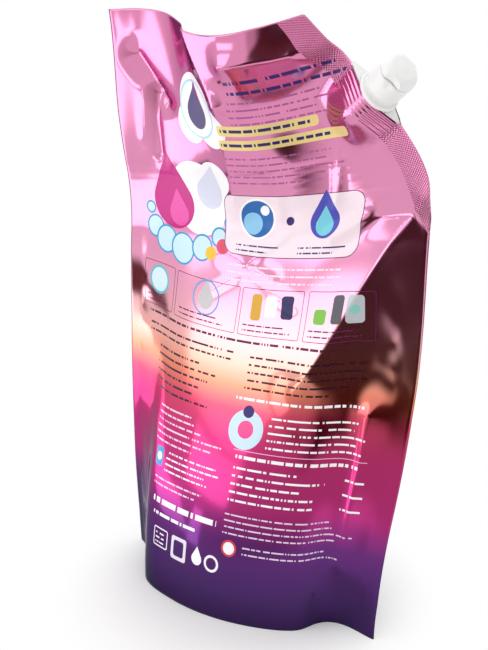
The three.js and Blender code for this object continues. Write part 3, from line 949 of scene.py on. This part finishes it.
@dataclass
class PouchFilm:
    """The pouch's films, seals and gusset as one closed skin, in mm."""

    form: FilmForm
    finish: FilmFinish = FilmFinish()
    columns: int = 164
    belly_rows: int = 140
    slack_rows: int = 72
    seal_rows: int = 22
    gusset_rows: int = 16
    sealed_share: float = 3.0
    weld: float = 0.02
    skirt_rim: float = 1.2
    groove: float = 6.0
    groove_depth: float = 2.5
    groove_fade: float = 12.0
    small_print: float = 149.3

    def grid(self, bm: BMesh, rows: int) -> tuple[list[BMVert], np.ndarray, np.ndarray]:
        """Adds a flat grid one unit wide.

        Args:
            bm: the mesh that gets the grid.
            rows: its number of rows of cells.

        Returns:
            Its vertices and the column and row of each.
        """
        half = 0.5
        made = bmesh.ops.create_grid(bm, x_segments=self.columns, y_segments=rows, size=half)["verts"]
        i = np.array([round((vert.co.x + half) * self.columns) for vert in made])
        j = np.array([round((vert.co.y + half) * rows) for vert in made])
        return made, i, j

    def flat_places(self, i: np.ndarray, j: np.ndarray) -> tuple[np.ndarray, np.ndarray]:
        """Place on the flat film of each corner of the panel's grid.

        Args:
            i: column numbers.
            j: row numbers.

        Returns:
            Places across and up the film, in mm.
        """
        form = self.form
        s = form.width * i / self.columns
        seal = form.upper_edge(s) - form.seal_drop(s)
        waist = np.minimum(form.waist(s), seal - form.top_seal / 2)
        slack = mix(waist, seal, (j - self.belly_rows) / self.slack_rows)
        top = seal + form.seal_drop(s) * (j - self.belly_rows - self.slack_rows) / self.seal_rows
        t = np.where(j <= self.belly_rows, waist * j / self.belly_rows, slack)
        return s, np.where(j > self.belly_rows + self.slack_rows, top, t)

    def dress(self, bm: BMesh, side: Side, place: dict) -> None:
        """Gives a panel's faces their material slot and their place on the flat film.

        Args:
            bm: the mesh that holds the panel.
            side: which panel it is.
            place: each vertex of the panel with its place on the flat film, in metres.
        """
        flat = bm.loops.layers.uv["FlatFilm"]
        faces = list({face for vert in place for face in vert.link_faces})
        for face in faces:
            height = np.mean([place[vert][1] for vert in face.verts])
            low = side is Side.LABEL and height < self.small_print * MM
            face.material_index = (Side.SMALL_PRINT if low else side).value
            face.smooth = True
            for loop in face.loops:
                loop[flat].uv = place[loop.vert]
        if side is not Side.LABEL:
            bmesh.ops.reverse_faces(bm, faces=faces)

    def panel(self, bm: BMesh, side: Side) -> None:
        """Adds one panel as a grid laid over the film's form.

        Args:
            bm: the mesh that gets the panel.
            side: which panel it is.
        """
        rows = self.belly_rows + self.slack_rows + self.seal_rows
        made, i, j = self.grid(bm, rows)
        s, t = self.flat_places(i, j)
        front, rear = self.form.film_points(s, t, False), self.form.film_points(s, t, True)
        sealed = np.linalg.norm(rear - front, axis=1) < self.sealed_share * self.form.seal_thickness
        rim = ((i == 0) | (i == self.columns) | (j == rows)) & sealed
        points = np.where(rim[:, None], (front + rear) / 2, rear if side is Side.REAR else front)
        for vert, point in zip(made, points):
            vert.co = Vector(point) * MM
        self.dress(bm, side, {vert: (x * MM, y * MM) for vert, x, y in zip(made, s, t)})

    def gusset(self, bm: BMesh) -> None:
        """Adds the floor between the two panels: a rim, a groove behind it and the flat gusset.

        Args:
            bm: the mesh that gets the floor.
        """
        made, i, k = self.grid(bm, self.gusset_rows)
        s, t = self.flat_places(i, np.zeros_like(i))
        front, rear = self.form.film_points(s, t, False), self.form.film_points(s, t, True)
        rim = (i == 0) | (i == self.columns)
        front = np.where(rim[:, None], (front + rear) / 2, front)
        rear = np.where(rim[:, None], front, rear)
        depth = rear[:, 1] - front[:, 1]
        half, edge = self.gusset_rows / 2, self.skirt_rim + self.groove
        step = half - np.abs(k - half)
        offset = np.minimum(step * edge / (half - 2), edge)
        offset = np.where(step == half, depth / 2, np.minimum(offset, depth * step / self.gusset_rows))
        hollow = np.sin(np.pi * clamp((offset - self.skirt_rim) / self.groove)) * self.groove_depth
        hollow = np.where(step >= half - 1, 0, hollow) * ease(depth / self.groove_fade - 1)
        y = np.where(k <= half, front[:, 1] + offset, rear[:, 1] - offset)
        for vert, x, deep, high in zip(made, front[:, 0], y, hollow):
            vert.co = Vector((x, deep, high)) * MM
        self.dress(bm, Side.GUSSET, {vert: (vert.co.x, vert.co.y) for vert in made})

    def build(self) -> Object:
        """Builds the whole skin and dresses it.

        Returns:
            The pouch as one object.
        """
        bm = bmesh.new()
        bm.loops.layers.uv.new("FlatFilm")
        self.panel(bm, Side.LABEL)
        self.panel(bm, Side.REAR)
        self.gusset(bm)
        bmesh.ops.remove_doubles(bm, verts=bm.verts, dist=self.weld * MM)
        pouch = new_object("film_pouch", bm)
        for side in Side:
            pouch.data.materials.append(self.material(side))
        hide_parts("pouch")
        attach(pouch, "pack")
        return pouch

    def emboss(self, tree: NodeTree, place: Node) -> Node:
        """Fine grid pressed into the cut seal by the sealing jaws, but not over the boat.

        Args:
            tree: the film material's node tree.
            place: place on the flat film, in mm.

        Returns:
            The bumped normal.
        """
        form, finish = self.form, self.finish
        outward = (form.cut_down / form.cut_length, form.cut_across / form.cut_length, 0)
        along = (-outward[1], outward[0], 0)
        edge = form.width * outward[0] + (form.height - form.cut_down) * outward[1]
        boat = form.boat_middle[0] * along[0] + form.boat_middle[1] * along[1]
        reaches = [add_node(tree, "VectorMath", {0: place, 1: direction}, operation="DOT_PRODUCT")
                   for direction in (outward, along)]
        beside = add_node(tree, "Math", {0: reaches[1], 1: boat}, operation="SUBTRACT")
        beside = add_node(tree, "Math", {0: beside}, operation="ABSOLUTE")
        masks = [
            add_node(tree, "Math", {0: reaches[0], 1: edge - form.top_seal}, operation="GREATER_THAN"),
            add_node(tree, "Math", {0: beside, 1: form.spout.boat_length / 2}, operation="GREATER_THAN"),
        ]
        for reach in reaches:
            turn = add_node(tree, "Math", {0: reach, 1: math.tau / finish.emboss_pitch}, operation="MULTIPLY")
            masks.append(add_node(tree, "Math", {0: turn}, operation="SINE"))
        return add_node(tree, "Bump", {"Strength": 1.0, "Distance": finish.emboss_depth * MM,
                                       "Height": overlap(tree, masks)})

    def material(self, side: Side) -> Material:
        """Printed film of one panel.

        Args:
            side: the panel that gets it.

        Returns:
            The material.
        """
        finish = self.finish
        material, tree, shader = new_material(f"metallised_pet_{side.name.lower()}")
        wire(tree, shader, {"Specular Tint": linear(finish.edge_tint), "Coat Weight": finish.coat,
                            "Coat IOR": finish.coat_ior, "Coat Roughness": finish.coat_roughness})
        if side is Side.GUSSET:
            wire(tree, shader, {"Base Color": linear(finish.foot), "Metallic": finish.metallic,
                                "Roughness": finish.roughness})
            return material
        flat = add_node(tree, "UVMap", uv_map="FlatFilm")
        place = add_node(tree, "VectorMath", {0: flat, "Scale": 1 / MM}, operation="SCALE")
        share = add_node(tree, "VectorMath", {0: place, 1: (0, 1 / self.form.height, 0)},
                         operation="DOT_PRODUCT")
        ramp = add_node(tree, "ValToRGB", {0: share})
        stops = ramp.color_ramp.elements
        while len(stops) < len(finish.ramp):
            stops.new(0.5)
        for stop, (position, colour) in zip(stops, finish.ramp):
            stop.position = position
            stop.color = linear(colour)
        inks = FilmPrint(tree, place, ramp)
        {Side.LABEL: inks.label, Side.SMALL_PRINT: inks.small_print, Side.REAR: inks.rear}[side]()
        cover = add_node(tree, "VectorMath", {0: inks.colour, 1: ramp}, operation="DISTANCE")
        looks = {"Base Color": inks.colour, "Normal": self.emboss(tree, place)}
        for name, bare, inked in (("Metallic", finish.metallic, finish.inked_metallic),
                                  ("Roughness", finish.roughness, finish.inked_roughness)):
            looks[name] = add_node(tree, "MapRange", {0: cover, 1: finish.ink_start, 2: finish.ink_full,
                                                      3: bare, 4: inked})
        wire(tree, shader, looks)
        return material


@dataclass
class CornerSpout:
    """The welded spout and its flip-top cap, built in mm about the spout's own axis."""

    form: FilmForm
    sizes: SpoutSizes
    finish: MouldingFinish = MouldingFinish()
    steps: int = 120
    dome_steps: int = 5
    arc_step: float = 12.0
    wall_step: float = 0.5
    weld: float = 0.001
    edge: float = 0.4
    flange_fillet: float = 1.4
    sharp_angle: float = 40.0

    def arc(self, centre: Pair, radius: float, start: float,
            end: float) -> list[Pair]:
        """Points of an arc in a profile, from one angle to another in degrees."""
        turns = np.radians(np.linspace(start, end, 2 + round(abs(end - start) / self.arc_step)))
        return [(centre[0] + radius * math.cos(turn), centre[1] + radius * math.sin(turn)) for turn in turns]

    def rise(self, radius: float, low: float, high: float) -> list[Pair]:
        """Points up a straight wall, close enough to be dented later."""
        return [(radius, height) for height in np.arange(low, high, self.wall_step)]

    def turned(self, bm: BMesh, profile: list[Pair]) -> list[BMVert]:
        """Spins a profile of radius and height once round the axis.

        Args:
            bm: the mesh that gets the turned shape.
            profile: its points in order.

        Returns:
            The new vertices.
        """
        before = set(bm.verts)
        line = [bm.verts.new((radius, 0, height)) for radius, height in profile]
        edges = [bm.edges.new(pair) for pair in zip(line, line[1:])]
        bmesh.ops.spin(bm, geom=line + edges, cent=(0, 0, 0), axis=(0, 0, 1), angle=math.tau,
                       steps=self.steps, use_merge=True)
        bmesh.ops.remove_doubles(bm, verts=[vert for vert in bm.verts if vert not in before], dist=self.weld)
        return [vert for vert in bm.verts if vert not in before]

    def soften(self, bm: BMesh, edges: list[BMEdge], radius: float, segments: int) -> None:
        """Rounds edges."""
        bmesh.ops.bevel(bm, geom=edges, offset=radius, segments=segments, profile=0.5, affect="EDGES",
                        material=-1)

    def prism(self, bm: BMesh, grow: float, low: float, high: float) -> None:
        """Adds an upright prism on the boat's outline, grown all round.

        Args:
            bm: the mesh that gets it.
            grow: how far its sides stand out from the outline.
            low: height of its foot.
            high: height of its top.
        """
        sizes = self.sizes
        end, tip = sizes.boat_length / 2 + grow, sizes.boat_tip / 2 + grow
        flat, side = sizes.boat_flat / 2, sizes.boat_width / 2 + grow
        corners = [(-end, -tip), (-flat, -side), (flat, -side), (end, -tip)]
        corners += [(-x, -y) for x, y in corners]
        face = bm.faces.new([bm.verts.new((x, y, low)) for x, y in corners])
        top = bmesh.ops.extrude_face_region(bm, geom=[face])["geom"]
        raised = [item for item in top if isinstance(item, BMVert)]
        bmesh.ops.translate(bm, verts=raised, vec=(0, 0, high - low))
        self.soften(bm, [item for item in top if isinstance(item, BMEdge)], self.edge / 2, 2)

    def ear(self, bm: BMesh, height: float) -> None:
        """Adds a hinge ear behind the cap, its middle at a height.

        Args:
            bm: the mesh that gets it.
            height: that height.
        """
        sizes = self.sizes
        made = bmesh.ops.create_cube(bm, size=1.0)["verts"]
        bmesh.ops.scale(bm, verts=made, vec=(sizes.hinge_width, 2 * sizes.hinge_ear, sizes.ear_height))
        bmesh.ops.translate(bm, verts=made, vec=(0, sizes.cap / 2, height))
        self.soften(bm, list({edge for vert in made for edge in vert.link_edges}), self.edge, 3)

    def spout_mesh(self, bm: BMesh) -> None:
        """Ribbed boat, flange, neck and the seat under the collar, round an open bore.

        Args:
            bm: the mesh that gets them.
        """
        sizes, edge, fillet = self.sizes, self.edge, self.flange_fillet
        rib = sizes.rib_pitch / 2
        self.prism(bm, -sizes.rib_depth, rib / 2 - sizes.boat_height, -rib / 2)
        for count in range(sizes.ribs):
            low = count * sizes.rib_pitch - sizes.boat_height
            self.prism(bm, 0, low, low + rib)
        bore, root, foot = sizes.bore / 2, sizes.boat_width / 2 - 2 * sizes.rib_depth, -sizes.boat_height / 2
        flange, neck, seat = sizes.flange / 2, sizes.neck / 2, sizes.seat / 2
        low, high = sizes.flange_rise, sizes.flange_rise + sizes.flange_thickness
        self.turned(bm, [
            (bore, foot), (root, foot), (root, low),
            *self.arc((flange - 2 * edge, low + 2 * edge), 2 * edge, -90, 0),
            *self.arc((flange - 2 * edge, high - 2 * edge), 2 * edge, 0, 90),
            *self.arc((neck + fillet, high + fillet), fillet, 270, 180),
            *self.arc((neck - edge, sizes.seat_base - edge), edge, 0, 90),
            (seat, sizes.seat_base), (seat, sizes.parting), (bore, sizes.parting), (bore, foot),
        ])

    def collar_mesh(self, bm: BMesh) -> None:
        """Ring snapped over the seat, with a soft thumb recess in front and a hinge ear behind.

        Args:
            bm: the mesh that gets it.
        """
        sizes, edge = self.sizes, self.edge
        low, high = sizes.seat_base + sizes.clearance, sizes.parting
        inner, outer = sizes.seat / 2 + sizes.clearance, sizes.cap / 2
        made = self.turned(bm, [
            (inner, low), *self.arc((outer - edge, low + edge), edge, -90, 0),
            *self.rise(outer, low + 2 * edge, high - 2 * edge),
            *self.arc((outer - edge, high - edge), edge, 0, 90), (inner, high), (inner, low),
        ])
        foot = high - sizes.thumb_height
        for vert in made:
            x, y, z = vert.co
            if y < 0 and math.hypot(x, y) > outer - 2 * edge:
                up = (z - foot) / sizes.thumb_height
                half = sizes.thumb_width / 2 * float(mix(sizes.thumb_foot_share, 1.0, clamp(up)))
                vert.co.y += sizes.thumb_depth * float(ease(up) * (1 - ease(abs(x) / half)))
        self.ear(bm, high - sizes.ear_height / 2)

    def lid_mesh(self, bm: BMesh) -> None:
        """Crowned lid with its plug, a thumb scoop in front and a hinge ear behind.

        Args:
            bm: the mesh that gets it.
        """
        sizes, edge = self.sizes, self.edge
        low, outer, fillet = sizes.lid_base, sizes.cap / 2, sizes.lid_fillet
        crown = low + sizes.lid_height - sizes.lid_crown
        wall, roof, plug = outer - sizes.lid_wall, crown - sizes.lid_roof, sizes.bore / 2 - sizes.clearance
        flat, bore, foot = outer - fillet, plug - sizes.plug_wall, low - sizes.plug_depth
        parts = [1 - step / self.dome_steps for step in range(1, self.dome_steps + 1)]
        made = self.turned(bm, [
            (0, roof), (bore, roof), (bore, foot), (plug, foot), (plug, roof), (wall, roof), (wall, low),
            *self.arc((outer - edge, low + edge), edge, -90, 0),
            *self.arc((flat, crown - fillet), fillet, 0, 90),
            *((flat * part, crown + sizes.lid_crown / 2 * (1 + math.cos(math.pi * part))) for part in parts),
        ])
        middle = sizes.scoop_bite - sizes.scoop_radius - outer
        for vert in made:
            x, y, z = vert.co
            inside = sizes.scoop_radius ** 2 - x * x - (z - low) ** 2
            if y < 0 and inside > 0 and (math.hypot(x, y) > wall + edge or z > roof + edge):
                bite = middle + math.sqrt(inside) - y
                vert.co.y += (bite + math.hypot(bite, edge)) / 2
        self.ear(bm, low + sizes.ear_height / 2)

    def piece(self, bm: BMesh, node: str, body: str, turn: float) -> Object:
        """Sets a finished mesh on the pouch as the object that replaces a node.

        Args:
            bm: the mesh about the spout's own axis, in mm.
            node: name of the node that it replaces.
            body: body that it moves with.
            turn: turn about the axis, in degrees.

        Returns:
            The object.
        """
        place = Matrix.Scale(MM, 4) @ self.form.place @ Matrix.Rotation(math.radians(turn), 4, "Z")
        bmesh.ops.transform(bm, matrix=place, verts=bm.verts)
        bmesh.ops.recalc_face_normals(bm, faces=bm.faces)
        for face in bm.faces:
            face.smooth = True
        made = new_object(f"moulded_{node}", bm)
        made.data.set_sharp_from_angle(angle=math.radians(self.sharp_angle))
        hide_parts(node)
        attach(made, body)
        return made

    def material(self) -> Material:
        """Milky white moulded polyethylene.

        Returns:
            The material.
        """
        material, tree, shader = new_material("moulded_polyethylene")
        wire(tree, shader, {"Base Color": linear(self.finish.colour), "Roughness": self.finish.roughness,
                            "IOR": self.finish.ior})
        return material

    def build(self) -> list[Object]:
        """Builds and dresses the spout, the collar and the lid.

        Returns:
            The three objects.
        """
        white = self.material()
        built = []
        for node, body, turn, shape in (("spout", "pack", 0.0, self.spout_mesh),
                                        ("collar", "pack", self.sizes.cap_turn, self.collar_mesh),
                                        ("lid", "lid", self.sizes.cap_turn, self.lid_mesh)):
            bm = bmesh.new()
            shape(bm)
            made = self.piece(bm, node, body, turn)
            made.data.materials.append(white)
            built.append(made)
        return built


@dataclass(frozen=True)
class Lamp:
    """A softbox.

    Attributes:
        name: its name.
        size: its width and height, in metres.
        power: its power, in watts.
        place: where it stands, in metres.
        target: the point that it is turned to.
    """

    name: str
    size: Pair
    power: float
    place: Triple
    target: Triple


@dataclass(frozen=True)
class Scrim:
    """An unlit part of the room, painted as a dark reflection: a bent upright scrim that only the film's
    reflections show.

    Attributes:
        name: its name.
        reach: its distance from the middle of the pouch, in metres.
        azimuths: where it starts and ends, in degrees from the label side towards the spout side.
        fade: the degrees over which it darkens from its start.
        heights: its foot, where it is full, where it starts to thin out, and its head, in metres.
        depth: share of what lies behind it that it hides at its fullest.
        colour: hex colour of the painted shade that it is seen in.
    """

    name: str
    reach: float
    azimuths: Pair
    fade: float
    heights: tuple[float, float, float, float]
    depth: float
    colour: str


@dataclass
class Studio:
    """Camera, lamps, scrims, floor and backdrop."""

    lens: float = 50.13
    sensor: float = 36.0
    camera_place: Triple = (0.2994, -0.3691, 0.2845)
    camera_turn: float = 39.16
    camera_pitch: float = 14.92
    floor_half: float = 4.0
    floor_colour: str = "FAFAFA"
    floor_roughness: float = 0.9
    shadow_reach: Pair = (0.05, 0.115)
    world_light: float = 0.78
    scrim_steps: int = 48
    scrims: tuple[Scrim, ...] = (
        Scrim("low_dusk", 0.27, (-62, 84), 84, (0.0, 0.04, 0.15, 0.2), 0.42, "6A0E14"),
        Scrim("flank_dusk", 0.15, (16, 84), 28, (0.1, 0.124, 0.16, 0.212), 1.0, "3A0E0C"),
        Scrim("waist_dusk", 0.149, (-14, 84), 36, (0.128, 0.15, 0.16, 0.212), 1.0, "3A0E0C"),
        Scrim("high_dusk", 0.148, (36, 70), 10, (0.15, 0.175, 0.23, 0.262), 0.95, "4A100E"),
        Scrim("left_dusk", 0.15, (-94, -80), 4, (0.151, 0.157, 0.172, 0.18), 1.0, "5C2020"),
    )
    lamps: tuple[Lamp, ...] = (
        Lamp("key_softbox", (0.9, 0.9), 3.3, (-0.75, -0.95, 0.9), (0, 0, 0.16)),
        Lamp("strip_softbox", (0.45, 0.16), 0.34, (-0.49, -0.75, 0.25), (0, 0, 0.2)),
        Lamp("top_softbox", (1.2, 1.2), 5.1, (0.1, 0.1, 1.5), (0, 0, 0.16)),
        Lamp("front_floor_strip", (0.06, 0.36), 0.13, (-0.235, -0.348, 0.012), (0, 0, 0.9)),
        Lamp("floor_bounce", (0.5, 0.8), 2.0, (-0.48, -0.22, 0.01), (-0.4, -0.18, 0.4)),
    )

    def camera(self) -> None:
        """Sets the camera at the photograph's angle."""
        data = bpy.data.cameras.new("camera")
        data.lens = self.lens
        data.sensor_width = self.sensor
        camera = bpy.data.objects.new("camera", data)
        camera.location = self.camera_place
        camera.rotation_euler = (math.radians(90 - self.camera_pitch), 0, math.radians(self.camera_turn))
        bpy.context.scene.collection.objects.link(camera)
        bpy.context.scene.camera = camera

    def hang_lamp(self, lamp: Lamp) -> None:
        """Adds a softbox that the camera doesn't see.

        Args:
            lamp: the softbox.
        """
        data = bpy.data.lights.new(lamp.name, "AREA")
        data.shape = "RECTANGLE"
        data.size, data.size_y = lamp.size
        data.energy = lamp.power
        made = bpy.data.objects.new(lamp.name, data)
        made.location = lamp.place
        aim = Vector(lamp.target) - Vector(lamp.place)
        made.rotation_euler = aim.to_track_quat("-Z", "Y").to_euler()
        made.visible_camera = False
        bpy.context.scene.collection.objects.link(made)

    def seen(self, tree: NodeTree, first: str, *others: str) -> Node:
        """One for rays of the named kinds, and zero for others.

        Args:
            tree: the node tree that gets the test.
            first: name of a Light Path output.
            *others: names of further outputs.

        Returns:
            The test's last node.
        """
        ray = add_node(tree, "LightPath")
        share = ray.outputs[first]
        for kind in others:
            share = add_node(tree, "Math", {0: share, 1: ray.outputs[kind]}, operation="MAXIMUM")
        return share

    def floor(self) -> None:
        """Pale floor that keeps the pouch's shadow and fades to white away from it."""
        bm = bmesh.new()
        bmesh.ops.create_grid(bm, x_segments=2, y_segments=2, size=self.floor_half)
        floor = new_object("floor", bm)
        material, tree, shader = new_material("white_sweep")
        wire(tree, shader, {"Base Color": linear(self.floor_colour), "Roughness": self.floor_roughness,
                            "Specular IOR Level": 0.0})
        near, far = self.shadow_reach
        place = add_node(tree, "TexCoord")
        distance = add_node(tree, "VectorMath", {0: place.outputs["Object"]}, operation="LENGTH")
        share = add_node(tree, "MapRange", {0: distance, 1: near, 2: far}, interpolation_type="SMOOTHSTEP")
        fade = overlap(tree, [self.seen(tree, "Is Camera Ray", "Is Glossy Ray"), share])
        white = add_node(tree, "Emission", {"Color": (1, 1, 1, 1), "Strength": 1.0})
        blend = add_node(tree, "MixShader", {0: fade, 1: shader, 2: white})
        wire(tree, tree.nodes["Material Output"], {"Surface": blend})
        floor.data.materials.append(material)

    def hang_scrim(self, scrim: Scrim) -> None:
        """Adds a scrim round the pouch, clear at its start, foot and head.

        Args:
            scrim: the scrim.
        """
        low, full_low, full_high, high = scrim.heights
        start, end = (math.radians(azimuth) for azimuth in scrim.azimuths)
        bm = bmesh.new()
        foot, head = (bm.verts.new((0, -scrim.reach, height)) for height in (low, high))
        upright = bm.edges.new((foot, head))
        bmesh.ops.rotate(bm, verts=bm.verts, cent=(0, 0, 0), matrix=Matrix.Rotation(start, 3, "Z"))
        bmesh.ops.spin(bm, geom=[foot, head, upright], cent=(0, 0, 0), axis=(0, 0, 1), steps=self.scrim_steps,
                       angle=end - start)
        sheet = new_object(scrim.name, bm)
        material, tree, _ = new_material(f"{scrim.name}_scrim")
        place = add_node(tree, "TexCoord")
        parts = add_node(tree, "SeparateXYZ", {0: place.outputs["Object"]})
        ahead = add_node(tree, "Math", {0: parts.outputs["Y"], 1: -1.0}, operation="MULTIPLY")
        azimuth = add_node(tree, "Math", {0: parts.outputs["X"], 1: ahead}, operation="ARCTAN2")
        masks = [add_node(tree, "MapRange", {0: azimuth, 1: start, 2: start + math.radians(scrim.fade),
                                             4: scrim.depth}, interpolation_type="SMOOTHSTEP")]
        for clear, full in ((low, full_low), (high, full_high)):
            masks.append(add_node(tree, "MapRange", {0: parts.outputs["Z"], 1: clear, 2: full},
                                  interpolation_type="SMOOTHSTEP"))
        through = add_node(tree, "BsdfTransparent")
        # Painted dark reflection: the sheet glows faintly in the colour of the shade, so the film's
        # reflections go dark here.
        dusk = add_node(tree, "Emission", {"Color": linear(scrim.colour), "Strength": 1.0})
        blend = add_node(tree, "MixShader", {0: overlap(tree, masks), 1: through, 2: dusk})
        wire(tree, tree.nodes["Material Output"], {"Surface": blend})
        sheet.data.materials.append(material)
        for ray in ("camera", "diffuse", "shadow", "transmission"):
            setattr(sheet, f"visible_{ray}", False)

    def world(self) -> None:
        """White surroundings for the camera and for reflections, softer for the light that they give."""
        world = bpy.data.worlds.new("white_studio")
        world.use_nodes = True
        bpy.context.scene.world = world
        tree = world.node_tree
        seen = self.seen(tree, "Is Camera Ray", "Is Glossy Ray", "Is Transmission Ray")
        level = add_node(tree, "MapRange", {0: seen, 3: self.world_light, 4: 1.0})
        wire(tree, tree.nodes["Background"], {"Strength": level, "Color": (1, 1, 1, 1)})

    def build(self) -> None:
        """Sets up the whole studio."""
        bpy.context.scene.view_settings.view_transform = "Standard"
        self.camera()
        self.floor()
        for scrim in self.scrims:
            self.hang_scrim(scrim)
        self.world()
        for lamp in self.lamps:
            self.hang_lamp(lamp)


def main() -> None:
    """Builds the pouch, its spout and the studio, and reports each piece."""
    logging.basicConfig(level=logging.INFO, format="%(name)s %(message)s")
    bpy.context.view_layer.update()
    sizes = SpoutSizes()
    form = FilmForm(sizes)
    pieces = [PouchFilm(form).build(), *CornerSpout(form, sizes).build()]
    for piece in pieces:
        LOG.info("%s: %d faces", piece.name, len(piece.data.polygons))
    Studio().build()


if __name__ == "__main__":
    main()
